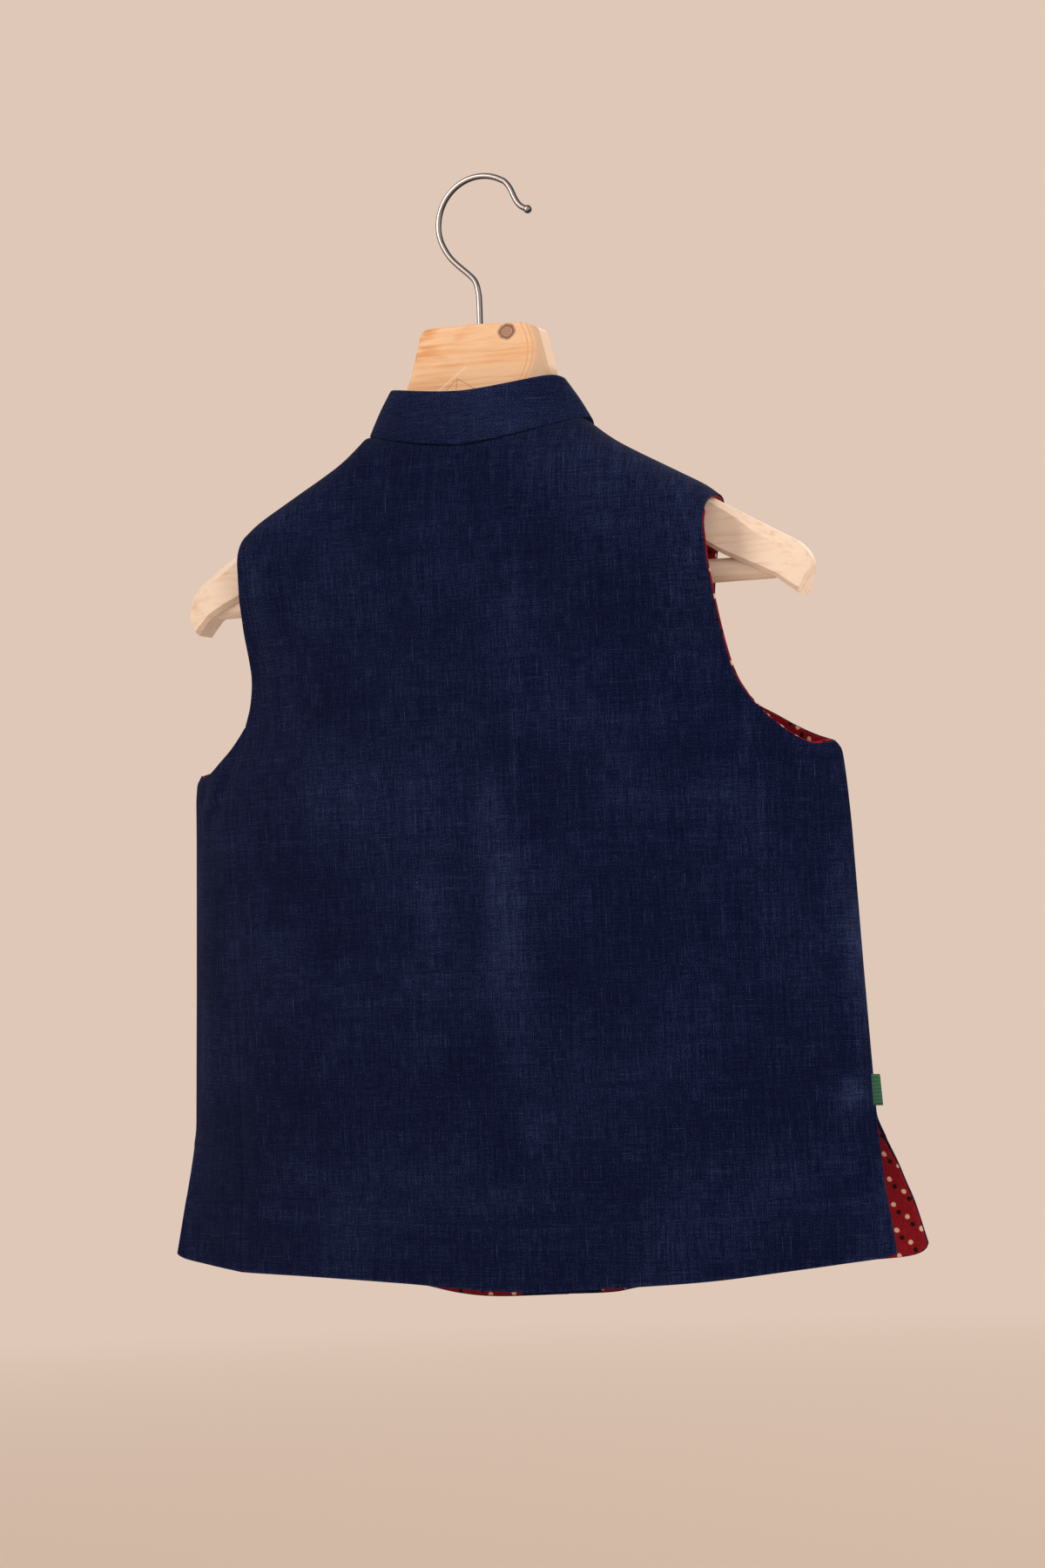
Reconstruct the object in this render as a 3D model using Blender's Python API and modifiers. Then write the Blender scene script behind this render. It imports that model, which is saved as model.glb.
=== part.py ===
"""Sleeveless jacket with a stand collar, hanging on a wooden suit hanger by its wire hook.

The origin is where the wire hook is held, at the top of the inside of its loop. +X is the wearer's right, +Y the
front of the jacket and +Z up. Sizes are in millimetres, with heights from the top of the hook, one wire's thickness
above the origin, and metres() turns them into the part's own places.

The cloth is worked out as it is cut. A panel is bounded by its seams and edges, which are curves seen from the back
(across, height), and every point on it gets its depth from the jacket's cross-section at that height. The lining
and the facings are the same points moved in.
"""
from collections import namedtuple
from math import atan2, cos, pi, radians, sin, sqrt

import bmesh
import bpy
from mathutils import Matrix, Vector

MM = 0.001
WIRE = 3.8
SEAM_GAP = 0.3
CLOTH = 1.2
LINING = 1.0
COLLAR_CLOTH = 2.4

# Cross-sections from the shoulders down. Each is as wide as the body would be without its armholes. The side depth
# is where the cloth folds round from back to front, and the centre depth is at the middle of the back or front.
Section = namedtuple("Section", "height half_width centre_depth side_depth side_roundness")
BACK_SECTIONS = (
    Section(-160, 176, -36, -30, 0.0),
    Section(-205, 176, -43, -34, 0.0),
    Section(-240, 176, -46, -35, 0.0),
    Section(-262, 178, -46, -31, 0.0),
    Section(-285, 182, -46, -20, 0.0),
    Section(-312, 190, -46, 0, 0.0),
    Section(-343, 203, -46, 16, 0.2),
    Section(-370, 217, -46, 22, 1.0),
    Section(-375, 221, -46, 22.5, 1.0),
    Section(-385, 222.8, -46, 23.2, 1.0),
    Section(-420, 225, -46, 26, 1.0),
    Section(-515, 229, -44, 28, 1.0),
    Section(-601, 233, -42, 30, 1.0),
    Section(-640, 237, -42, 24, 0.0),
    Section(-685, 242, -42, 21, 0.0),
    Section(-712, 246, -42, 17, 0.0),
)
FRONT_SECTIONS = (
    Section(-163, 176, -6, -6, 0.0),
    Section(-171, 176, 11.5, 1, 0.0),
    Section(-187, 176, 26, 10, 0.0),
    Section(-206, 176, 35.5, 14, 0.0),
    Section(-228, 176, 43.5, 18, 0.0),
    Section(-262, 178, 48, 26, 0.0),
    Section(-290, 182, 50, 29, 0.0),
    Section(-315, 190, 52, 31, 0.0),
    Section(-343, 203, 53, 30, 0.2),
    Section(-370, 217, 54, 22, 1.0),
    Section(-375, 221, 54.2, 22.5, 1.0),
    Section(-385, 222.8, 54.6, 23.2, 1.0),
    Section(-420, 225, 56, 26, 1.0),
    Section(-515, 229, 58, 28, 1.0),
    Section(-601, 233, 60, 30, 1.0),
    Section(-630, 238.5, 61, 54, 0.0),
    Section(-656, 244.5, 62, 66, 0.0),
    Section(-684, 249.5, 64, 75, 0.0),
    Section(-720, 256, 66, 78, 0.0),
)

# What a panel hangs from: the depth and height of its top edge there, and the way into the body.
Top = namedtuple("Top", "depth height direction")

# Seams and edges of the right half, seen from the back.
Edge = namedtuple("Edge", "across height")
SHOULDER_SEAM = (Edge(73, -163.5), Edge(86, -174.5), Edge(100, -183.5), Edge(130, -200), Edge(148, -210),
                 Edge(158, -217.5))
BACK_ARMHOLE_UPPER = (Edge(158, -217.5), Edge(157.5, -240), Edge(159.3, -280), Edge(161.2, -310),
                      Edge(165.5, -329), Edge(171.5, -341.5))
BACK_ARMHOLE_LOWER = (Edge(171.5, -341.5), Edge(184, -355.5), Edge(198, -367), Edge(209, -372.5),
                      Edge(217, -370.5))
FRONT_ARMHOLE_UPPER = (Edge(158, -217.5), Edge(146, -237), Edge(139.5, -262), Edge(138, -284), Edge(142, -313),
                       Edge(152, -332))
FRONT_ARMHOLE_LOWER = (Edge(152, -332), Edge(161, -343), Edge(178, -352.7), Edge(191, -360), Edge(204, -366),
                       Edge(217, -370.5))
FRONT_SIDE_LINE = (Edge(152, -332), Edge(164, -385), Edge(172, -460), Edge(177, -560), Edge(190, -692.5))
SIDE_SEAM = (Edge(217, -370.5), Edge(221, -375), Edge(222.8, -385), Edge(225, -420), Edge(229, -515),
             Edge(233, -601))
BACK_VENT = (Edge(233, -601), Edge(237, -640), Edge(242, -684.5))
FRONT_VENT = (Edge(233, -601), Edge(235.5, -615), Edge(238.5, -630), Edge(244.5, -656), Edge(249.5, -684))
PRINCESS_SEAM = (Edge(171.5, -341.5), Edge(175, -362), Edge(183, -390), Edge(183, -425), Edge(180, -560),
                 Edge(183, -692))
SIDE_FRONT_HEM = (Edge(190, -692.5), Edge(222, -689.5), Edge(249.5, -684))
SIDE_BACK_HEM = (Edge(183, -692), Edge(214, -688.5), Edge(242, -684.5))

# The jacket doesn't hang quite level, so the hem has its own curve on each side: -1 is the left and 1 the right.
BACK_HEM = {
    -1: (Edge(0, -700.7), Edge(54, -696.6), Edge(120, -693.5), Edge(183, -692)),
    1: (Edge(0, -700.7), Edge(37, -701.5), Edge(99, -698.8), Edge(143, -696.3), Edge(183, -692)),
}
FRONT_HEM = {
    -1: (Edge(-11, -712.5), Edge(34, -713.8), Edge(64, -711.5), Edge(102, -704.5), Edge(190, -692.5)),
    1: (Edge(-11, -712.5), Edge(40, -711), Edge(62, -707.5), Edge(112, -700.5), Edge(190, -692.5)),
}

# The neckline is a ring, and the stand collar leans in from it. Angle 0 is the centre back, 180 the centre front.
NECK_HALF_WIDTH = 73
NECK_SIDE_DEPTH = -6
NECK_BACK_DEPTH = -35
NECK_FRONT_DEPTH = 43
NECK_SIDE_HEIGHT = -163.5
NECK_BACK_DROP = 13
NECK_FRONT_DROP = 63.5
BACK_NECK_HEIGHT = NECK_SIDE_HEIGHT - NECK_BACK_DROP
COLLAR_TOP_HALF_WIDTH = 56.5
COLLAR_TOP_SIDE_DEPTH = -9
COLLAR_TOP_BACK_DEPTH = -31
COLLAR_TOP_FRONT_DEPTH = 36
COLLAR_TOP_SIDE_HEIGHT = -135.5
COLLAR_TOP_BACK_DROP = 7.5
COLLAR_TOP_FRONT_DROP = 59
COLLAR_OPENING_ANGLE = 2.5

FRONT_OVERLAP_ANGLE = 8.2
OVERLAP_LIFT = 3.2
OVERLAP_FULL = 14
OVERLAP_FADE = 48
FACING_SHARE_LEFT = 0.147
FACING_SHARE_RIGHT = 0.225

NECK_SHARE_BACK = 0.43
NECK_SHARE_FRONT = 0.5
SEAM_SHARE = 0.32
UNDERARM_SHARE = 0.385
VENT_SHARE = 0.81
VENT_SHARE_OF_SIDE = (VENT_SHARE - UNDERARM_SHARE) / (1 - UNDERARM_SHARE)
SHOULDER_ROUND = 22
LINING_INSET = 2.5

BUTTON_COUNT = 5
BUTTON_TOP = -246
BUTTON_SPACING = 78
BUTTON_RADIUS = 9
BUTTON_THICK = 3.2

LABEL_TOP = -575
LABEL_TALL = 19
LABEL_WIDE = 6.5
LABEL_THICK = 1.4

HOOK_RADIUS = 29.5
HOOK_CENTRE = (3.0, -31.4)
HOOK_MOUTH_ANGLE = 52
HOOK_HEEL_ANGLE = 214
HOOK_BEND = ((-8.0, -65.0), (-2.4, -71.5), (0.0, -79.0))
HOOK_MOUTH = ((24.2, -13.6), (27.3, -19.8), (31.0, -23.2), (34.5, -25.2))
HOOK_SHANK_END = -119
SHANK_HOLE = 2.3

BLOCK_TOP = -97
BLOCK_THICK = 19
ARM_TIP = 213
ARM_ROOT = 47.2
ARM_ROOT_DEPTH = -6.5
ARM_TIP_DEPTH = 8
ARM_TALL = 42
ARM_TAPER = 15
ARM_CHAMFER = 8
ARM_LOW_CHAMFER = 3
ARM_END_ROUND = 10
ARM_END_SLANT = 8
ARM_BELOW_SEAM = 4.4
ARM_NECK_SLOPE = 0.35
ARM_TIP_SLOPE = 0.58
ARM_THICK = 12
ARM_END_THICK = 24
BAR_RADIUS = 7.4
BAR_HEIGHT = -263.6
BAR_HALF = 190
HOLE_DEEP = 100

# A layer of cloth: how far in from the outside it starts, how thick it is, and its finish.
OUTER = (0, CLOTH, "indigo")
LINING_LAYER = (CLOTH + SEAM_GAP, LINING, "lining_red")
FACING_LAYER = (CLOTH + SEAM_GAP, LINING, "indigo")

COLOURS = {
    "indigo": ((0.008, 0.016, 0.075), 0.9, 0.0),
    "lining_red": ((0.28, 0.018, 0.022), 0.85, 0.0),
    "label_green": ((0.03, 0.2, 0.08), 0.8, 0.0),
    "pine": ((0.75, 0.45, 0.2), 0.55, 0.0),
    "chrome": ((0.8, 0.8, 0.82), 0.12, 1.0),
    "button": ((0.02, 0.02, 0.03), 0.4, 0.0),
}


def clear_scene():
    for thing in list(bpy.data.objects):
        bpy.data.objects.remove(thing)


def new_collection(name):
    collection = bpy.data.collections.new(name)
    bpy.context.scene.collection.children.link(collection)
    return collection


def material(name):
    found = bpy.data.materials.get(name)
    if found:
        return found
    colour, roughness, metallic = COLOURS[name]
    made = bpy.data.materials.new(name)
    made.use_nodes = True
    shader = made.node_tree.nodes["Principled BSDF"]
    shader.inputs["Base Color"].default_value = (*colour, 1)
    shader.inputs["Roughness"].default_value = roughness
    shader.inputs["Metallic"].default_value = metallic
    return made


def place(name, data, collection, finish):
    piece = bpy.data.objects.new(name, data)
    collection.objects.link(piece)
    data.materials.append(material(finish))
    return piece


def metres(across, depth, height):
    """A place in millimetres from the top of the hook as one in metres from the hang point under its wire."""
    return Vector((across, depth, height + WIRE)) * MM


def smooth_step(value, low, high):
    share = min(max((value - low) / (high - low), 0.0), 1.0)
    return share * share * (3 - 2 * share)


def read_section(sections, height):
    """The cross-section at a height, eased between the two rows that it lies between."""
    if height >= sections[0].height:
        return sections[0]
    for upper, lower in zip(sections, sections[1:]):
        if height >= lower.height:
            share = (upper.height - height) / (upper.height - lower.height)
            return Section(*(a + (b - a) * share for a, b in zip(upper, lower)))
    return sections[-1]


def sample(points, share):
    """A point on a smooth curve through some points, at a share of its length."""
    lengths = [0.0]
    for a, b in zip(points, points[1:]):
        lengths.append(lengths[-1] + sqrt((a[0] - b[0]) ** 2 + (a[1] - b[1]) ** 2))
    target = share * lengths[-1]
    last = len(points) - 2
    index = max(i for i in range(last + 1) if lengths[i] <= target or i == 0)
    u = (target - lengths[index]) / (lengths[index + 1] - lengths[index])
    p1, p2 = points[index], points[index + 1]
    p0 = points[index - 1] if index > 0 else (2 * p1[0] - p2[0], 2 * p1[1] - p2[1])
    p3 = points[index + 2] if index < last else (2 * p2[0] - p1[0], 2 * p2[1] - p1[1])
    return tuple(
        0.5 * (2 * b + (c - a) * u + (2 * a - 5 * b + 4 * c - d) * u * u + (3 * b - a - 3 * c + d) * u ** 3)
        for a, b, c, d in zip(p0, p1, p2, p3)
    )


def neck_ring(angle):
    """A point of the neckline, at an angle in degrees from the centre back."""
    turn = radians(angle)
    across = NECK_HALF_WIDTH * sin(turn)
    if cos(turn) >= 0:
        depth = NECK_SIDE_DEPTH + (NECK_BACK_DEPTH - NECK_SIDE_DEPTH) * cos(turn)
        height = NECK_SIDE_HEIGHT - NECK_BACK_DROP * (1 - abs(sin(turn)) ** 1.6)
    else:
        depth = NECK_SIDE_DEPTH - (NECK_FRONT_DEPTH - NECK_SIDE_DEPTH) * cos(turn)
        height = NECK_SIDE_HEIGHT - NECK_FRONT_DROP * cos(turn) ** 2
    return across, depth, height


def collar_top(angle):
    """A point of the collar's top edge above the neckline."""
    turn = radians(angle)
    across = COLLAR_TOP_HALF_WIDTH * sin(turn)
    if cos(turn) >= 0:
        depth = COLLAR_TOP_SIDE_DEPTH + (COLLAR_TOP_BACK_DEPTH - COLLAR_TOP_SIDE_DEPTH) * cos(turn)
        height = COLLAR_TOP_SIDE_HEIGHT - COLLAR_TOP_BACK_DROP * (1 - abs(sin(turn)) ** 1.6)
    else:
        depth = COLLAR_TOP_SIDE_DEPTH - (COLLAR_TOP_FRONT_DEPTH - COLLAR_TOP_SIDE_DEPTH) * cos(turn)
        height = COLLAR_TOP_SIDE_HEIGHT - COLLAR_TOP_FRONT_DROP * cos(turn) ** 2
    return across, depth, height


def overlap_lift(across, side):
    """How far the outer front stands off where it laps over the other one. across is from its own side."""
    if side > 0:
        return 0.0
    return OVERLAP_LIFT * (1 - smooth_step(across, OVERLAP_FULL, OVERLAP_FADE))


def section_depth(sections, across, height):
    row = read_section(sections, height)
    reach = min(abs(across) / row.half_width, 1.0)
    bend = 1 - (1 - reach ** 2.2) ** (1 - 0.28 * row.side_roundness)
    return row.centre_depth + (row.side_depth - row.centre_depth) * bend


def inward(sections, across, height, facing):
    """The direction from the cloth into the body, level, and straight in at the side folds."""
    row = read_section(sections, height)
    reach = min(abs(across) / row.half_width, 1.0)
    level = Vector((-0.55 * reach ** 2 if across > 0 else 0.55 * reach ** 2, -facing, 0))
    at_fold = Vector((-1 if across > 0 else 1, 0, 0))
    at_side_seam = SIDE_SEAM[-1].height - 1 <= height <= SIDE_SEAM[0].height + 1
    folded = 1.0 if at_side_seam else row.side_roundness
    share = folded * smooth_step(reach, 0.86, 1.0)
    return level.normalized().lerp(at_fold, share).normalized()


def cloth_point(sections, across, height, facing, side, top=None):
    """The outer point of the cloth and its inward direction. top is the point that it hangs from."""
    depth = section_depth(sections, across, height)
    if facing > 0:
        depth += overlap_lift(across, side)
    direction = inward(sections, across, height, facing)
    if top:
        share = min(max(top.height - height, 0.0) / SHOULDER_ROUND, 1.0)
        round_share = sqrt(1 - (1 - share) ** 2)
        depth = top.depth + (depth - top.depth) * round_share
        direction = top.direction.lerp(direction, round_share).normalized()
    return Vector((across, depth, height)), direction


def blend_patch(top, hem, inner, outer, s, t):
    """A point inside four edges: inner and outer run downwards, top and hem run outwards."""
    corners = (
        (1 - s) * (1 - t) * Vector(top(0)) + s * (1 - t) * Vector(top(1))
        + (1 - s) * t * Vector(hem(0)) + s * t * Vector(hem(1))
    )
    along = (1 - t) * Vector(top(s)) + t * Vector(hem(s)) + (1 - s) * Vector(inner(t)) + s * Vector(outer(t))
    return along - corners


def stops(*runs):
    """Shares along an edge: each run is (start, end, pieces)."""
    values = [runs[0][0]]
    for start, end, pieces in runs:
        values += [start + (end - start) * (i + 1) / pieces for i in range(pieces)]
    return values


def shoulder_rows(length):
    """The first rows of a panel, closer together where the cloth rolls over the shoulder."""
    return [SHOULDER_ROUND * (1 - cos(radians(turn))) / length for turn in (0, 20, 42, 65, 90)]


def trimmed(point_at, column, row, steps):
    """A point moved along the cloth's own facets, by the lining's inset, towards its neighbours in steps."""
    point, direction = point_at(column, row)
    for column_step, row_step in steps:
        neighbour, other = point_at(column + column_step, row + row_step)
        share = LINING_INSET / (neighbour - point).length
        point, direction = point.lerp(neighbour, share), direction.lerp(other, share).normalized()
    return point, direction


def wall(name, patches, layer, collection):
    """A cloth wall from one or more grids, welded where they meet, moved in to its layer and given thickness.

    A patch is (columns, rows, point_at). point_at(column, row) gives the outer point and the way into the body. The
    last row of a lining stops short of the hem.
    """
    start, thick, finish = layer
    mesh = bmesh.new()
    inner_place = {}
    for columns, rows, point_at in patches:
        grid = bmesh.ops.create_grid(mesh, x_segments=columns - 1, y_segments=rows - 1, size=0.5)
        for vertex in grid["verts"]:
            column = round((vertex.co.x + 0.5) * (columns - 1))
            row = round((0.5 - vertex.co.y) * (rows - 1))
            steps = ((0, -1),) if row == rows - 1 and start > 0 else ()
            point, direction = trimmed(point_at, column, row, steps)
            vertex.co = metres(*(point + direction * start))
            inner_place[tuple(vertex.co)] = metres(*(point + direction * (start + thick)))
    bmesh.ops.triangulate(mesh, faces=list(mesh.faces), quad_method="FIXED")
    bmesh.ops.remove_doubles(mesh, verts=list(mesh.verts), dist=0.01 * MM)
    grown = bmesh.ops.extrude_face_region(mesh, geom=list(mesh.faces), use_keep_orig=True)
    for piece in grown["geom"]:
        if isinstance(piece, bmesh.types.BMVert):
            piece.co = inner_place[tuple(piece.co)]
    bmesh.ops.recalc_face_normals(mesh, faces=list(mesh.faces))
    data = bpy.data.meshes.new(name)
    mesh.to_mesh(data)
    mesh.free()
    data.shade_smooth()
    return place(name, data, collection, finish)


def back_top(share):
    if share <= NECK_SHARE_BACK:
        across, _, height = neck_ring(90 * share / NECK_SHARE_BACK)
        return across, height
    return sample(SHOULDER_SEAM, (share - NECK_SHARE_BACK) / (1 - NECK_SHARE_BACK))


def back_centre(share):
    return 0, BACK_NECK_HEIGHT + (BACK_HEM[1][0].height - BACK_NECK_HEIGHT) * share


def back_outer(share):
    if share <= SEAM_SHARE:
        return sample(BACK_ARMHOLE_UPPER, share / SEAM_SHARE)
    return sample(PRINCESS_SEAM, (share - SEAM_SHARE) / (1 - SEAM_SHARE))


def side_back_outer(share):
    """Down the side seam to the vent, then down the vent's edge."""
    if share <= VENT_SHARE_OF_SIDE:
        return sample(SIDE_SEAM, share / VENT_SHARE_OF_SIDE)
    return sample(BACK_VENT, (share - VENT_SHARE_OF_SIDE) / (1 - VENT_SHARE_OF_SIDE))


def front_top(share):
    if share <= NECK_SHARE_FRONT:
        start = 180 + FRONT_OVERLAP_ANGLE
        across, _, height = neck_ring(start + (90 - start) * share / NECK_SHARE_FRONT)
        return across, height
    return sample(SHOULDER_SEAM, (share - NECK_SHARE_FRONT) / (1 - NECK_SHARE_FRONT))


def front_inner(share):
    """Down the front edge, past the centre line by the overlap."""
    start, end = front_top(0), FRONT_HEM[1][0]
    return start[0] + (end.across - start[0]) * share, start[1] + (end.height - start[1]) * share


def front_outer(share):
    if share <= SEAM_SHARE:
        return sample(FRONT_ARMHOLE_UPPER, share / SEAM_SHARE)
    return sample(FRONT_SIDE_LINE, (share - SEAM_SHARE) / (1 - SEAM_SHARE))


def side_front_outer(share):
    if share <= VENT_SHARE_OF_SIDE:
        return sample(SIDE_SEAM, share / VENT_SHARE_OF_SIDE)
    return sample(FRONT_VENT, (share - VENT_SHARE_OF_SIDE) / (1 - VENT_SHARE_OF_SIDE))


def shoulder_top(edge_height, facing):
    """Where a panel starts on the shoulder seam, along the top of the hanger's arm."""
    return Top(NECK_SIDE_DEPTH + facing * SEAM_GAP / 2, edge_height, Vector((-0.5, 0, -0.86)))


def neck_inward(angle):
    """The level direction into the neck from its ring."""
    turn = radians(angle)
    deep = NECK_SIDE_DEPTH - NECK_BACK_DEPTH if cos(turn) > 0 else NECK_FRONT_DEPTH - NECK_SIDE_DEPTH
    return Vector((-sin(turn) / NECK_HALF_WIDTH, cos(turn) / deep, 0)).normalized()


def mirrored(vector, side):
    return Vector((side * vector.x, vector.y, vector.z))


def back_panel(name, layer, collection):
    half = stops((0, NECK_SHARE_BACK, 4), (NECK_SHARE_BACK, 1, 5))
    columns = [-share for share in reversed(half[1:])] + half
    length = BACK_NECK_HEIGHT - BACK_HEM[1][0].height
    rows = shoulder_rows(length) + stops((SHOULDER_ROUND / length, SEAM_SHARE, 5))[1:]
    rows += [SEAM_SHARE + (1 - SEAM_SHARE) * share for share in side_rows()[1:]]

    def point_at(column, row):
        s, t = abs(columns[column]), rows[row]
        side = -1 if columns[column] < 0 else 1
        across, height = blend_patch(back_top, lambda u: sample(BACK_HEM[side], u), back_centre, back_outer, s, t)
        if s == 1 and t > SEAM_SHARE:
            across -= SEAM_GAP / 2
        if s >= NECK_SHARE_BACK:
            top = shoulder_top(back_top(s)[1], -1)
        else:
            angle = 90 * s / NECK_SHARE_BACK
            ring = neck_ring(angle)
            top = Top(ring[1] - SEAM_GAP / 2, ring[2], neck_inward(angle))
        point, direction = cloth_point(BACK_SECTIONS, across, height, -1, side, top)
        return mirrored(point, side), mirrored(direction, side)

    return wall(name, [(len(columns), len(rows), point_at)], layer, collection)


def side_rows():
    return stops((0, VENT_SHARE_OF_SIDE, 7), (VENT_SHARE_OF_SIDE, 1, 3))


def side_back_panel(name, side, layer, collection):
    columns = stops((0, 1, 5))
    rows = side_rows()

    def point_at(column, row):
        s, t = columns[column], rows[row]
        across, height = blend_patch(lambda u: sample(BACK_ARMHOLE_LOWER, u), lambda u: sample(SIDE_BACK_HEM, u),
                                     lambda u: sample(PRINCESS_SEAM, u), side_back_outer, s, t)
        if column == 0:
            across += SEAM_GAP / 2
        point, direction = cloth_point(BACK_SECTIONS, across, height, -1, side)
        if s == 1:
            point.y -= SEAM_GAP / 2
        return mirrored(point, side), mirrored(direction, side)

    return wall(name, [(len(columns), len(rows), point_at)], layer, collection)


def front_columns(side):
    """Shares across a front from its edge: its facing, the rest of the neckline, then the shoulder."""
    facing = FACING_SHARE_LEFT if side < 0 else FACING_SHARE_RIGHT
    start = 180 + FRONT_OVERLAP_ANGLE
    collar_end = NECK_SHARE_FRONT * (start - 180 + COLLAR_OPENING_ANGLE) / (start - 90)
    return stops((0, collar_end, 1), (collar_end, facing, 2), (facing, NECK_SHARE_FRONT, 4),
                 (NECK_SHARE_FRONT, 1, 5))


def front_neck_angle(share):
    start = 180 + FRONT_OVERLAP_ANGLE
    return start + (90 - start) * share / NECK_SHARE_FRONT


def front_panel(name, side, first, last, layer, collection):
    """A front, or the columns of it that its facing or its lining covers."""
    columns = front_columns(side)[first:last]
    length = front_top(0)[1] - FRONT_HEM[1][0].height
    rows = shoulder_rows(length) + stops((SHOULDER_ROUND / length, SEAM_SHARE, 5))[1:]
    rows += [SEAM_SHARE + (1 - SEAM_SHARE) * share for share in side_rows()[1:]]
    side_columns = stops((0, 1, 5))

    def point_at(column, row):
        s, t = columns[column], rows[row]
        across, height = blend_patch(front_top, lambda u: sample(FRONT_HEM[side], u), front_inner, front_outer,
                                     s, t)
        if column == 0 and s > 0:
            across += SEAM_GAP / 2
        if column == len(columns) - 1 and s < 1:
            across -= SEAM_GAP / 2
        if s >= NECK_SHARE_FRONT:
            top = shoulder_top(front_top(s)[1], 1)
        else:
            angle = front_neck_angle(s)
            ring = neck_ring(angle)
            top = Top(ring[1] + overlap_lift(ring[0], side) + SEAM_GAP / 2, ring[2], neck_inward(angle))
        point, direction = cloth_point(FRONT_SECTIONS, across, height, 1, side, top)
        return mirrored(point, side), mirrored(direction, side)

    def side_point_at(column, row):
        s, t = side_columns[column], side_rows()[row]
        across, height = blend_patch(lambda u: sample(FRONT_ARMHOLE_LOWER, u), lambda u: sample(SIDE_FRONT_HEM, u),
                                     lambda u: sample(FRONT_SIDE_LINE, u), side_front_outer, s, t)
        point, direction = cloth_point(FRONT_SECTIONS, across, height, 1, side)
        if s == 1 and t <= VENT_SHARE_OF_SIDE + 0.001:
            point.y += SEAM_GAP / 2
        return mirrored(point, side), mirrored(direction, side)

    patches = [(len(columns), len(rows), point_at)]
    if last is None:
        patches.append((len(side_columns), len(side_rows()), side_point_at))
    return wall(name, patches, layer, collection)


def collar(collection):
    """The stand collar: a band from the neckline up, open at the centre front."""
    end = 180 - COLLAR_OPENING_ANGLE
    back = [90 * i / 4 for i in range(4)]
    fronts = {}
    for side in (-1, 1):
        angles = [front_neck_angle(s) for s in front_columns(side) if s <= NECK_SHARE_FRONT]
        fronts[side] = sorted(angle for angle in angles if angle < end + 0.1)
    angles = [-angle for angle in reversed(fronts[-1])] + [-angle for angle in reversed(back[1:])] + back + fronts[1]
    rows = (0.0, 0.5, 1.0)

    def point_at(column, row):
        angle = abs(angles[column])
        side = -1 if angles[column] < 0 else 1
        foot = Vector(neck_ring(angle)) + Vector((0, 0, SEAM_GAP))
        top = Vector(collar_top(angle))
        lift = overlap_lift(foot.x, side) if angle > 90 else 0
        point = top.lerp(foot, rows[row]) + Vector((0, lift, 0))
        return mirrored(point, side), mirrored(neck_inward(angle), side)

    return wall("collar", [(len(angles), len(rows), point_at)], (0, COLLAR_CLOTH, "indigo"), collection)


def buttons(collection):
    """Flat buttons down the centre front, on the front that laps over."""
    for number in range(BUTTON_COUNT):
        height = BUTTON_TOP - BUTTON_SPACING * number
        depth = section_depth(FRONT_SECTIONS, 0, height) + OVERLAP_LIFT
        below = section_depth(FRONT_SECTIONS, 0, height - BUTTON_RADIUS) + OVERLAP_LIFT
        slope = atan2(below - depth, BUTTON_RADIUS)
        mesh = bmesh.new()
        bmesh.ops.create_cone(mesh, cap_ends=True, segments=16, radius1=BUTTON_RADIUS * MM,
                              radius2=BUTTON_RADIUS * MM, depth=BUTTON_THICK * MM)
        rim = [edge for edge in mesh.edges if abs(edge.verts[0].co.z - edge.verts[1].co.z) < 1e-6]
        bmesh.ops.bevel(mesh, geom=rim, offset=0.8 * MM, segments=1, affect="EDGES", profile=0.5, material=-1)
        name = f"button_{number + 1}"
        data = bpy.data.meshes.new(name)
        mesh.to_mesh(data)
        mesh.free()
        piece = place(name, data, collection, "button")
        clear = depth + BUTTON_THICK / 2 + 2 * SEAM_GAP
        piece.matrix_world = Matrix.Translation(metres(0, clear, height)) @ Matrix.Rotation(
            -pi / 2 + slope, 4, "X")


def label(collection):
    """A folded tape sewn into the side seam above the vent, on the wearer's right."""
    height = LABEL_TOP - LABEL_TALL / 2
    edge = read_section(BACK_SECTIONS, LABEL_TOP - LABEL_TALL)
    mesh = bmesh.new()
    bmesh.ops.create_cube(mesh, size=1)
    bmesh.ops.scale(mesh, vec=(LABEL_WIDE * MM, LABEL_THICK * MM, LABEL_TALL * MM), verts=mesh.verts)
    outer_edges = [e for e in mesh.edges if all(v.co.x > 0 for v in e.verts) and
                   abs(e.verts[0].co.z - e.verts[1].co.z) > LABEL_TALL * MM / 2]
    bmesh.ops.bevel(mesh, geom=outer_edges, offset=0.6 * MM, segments=2, affect="EDGES", profile=0.5, material=-1)
    data = bpy.data.meshes.new("label_loop")
    mesh.to_mesh(data)
    mesh.free()
    piece = place("label_loop", data, collection, "label_green")
    across = edge.half_width + SEAM_GAP + LABEL_WIDE / 2
    piece.location = metres(across, edge.side_depth, height)


def arm_top(across):
    """Height of the hanger's arm: inside the collar, under the shoulder seam, then on down to the tip."""
    first, last = SHOULDER_SEAM[0], SHOULDER_SEAM[-1]
    if across <= first.across:
        return first.height - ARM_BELOW_SEAM + ARM_NECK_SLOPE * (first.across - across)
    if across >= last.across:
        return last.height - ARM_BELOW_SEAM - ARM_TIP_SLOPE * (across - last.across)
    for a, b in zip(SHOULDER_SEAM, SHOULDER_SEAM[1:]):
        if across <= b.across:
            return a.height + (b.height - a.height) * (across - a.across) / (b.across - a.across) - ARM_BELOW_SEAM


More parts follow.
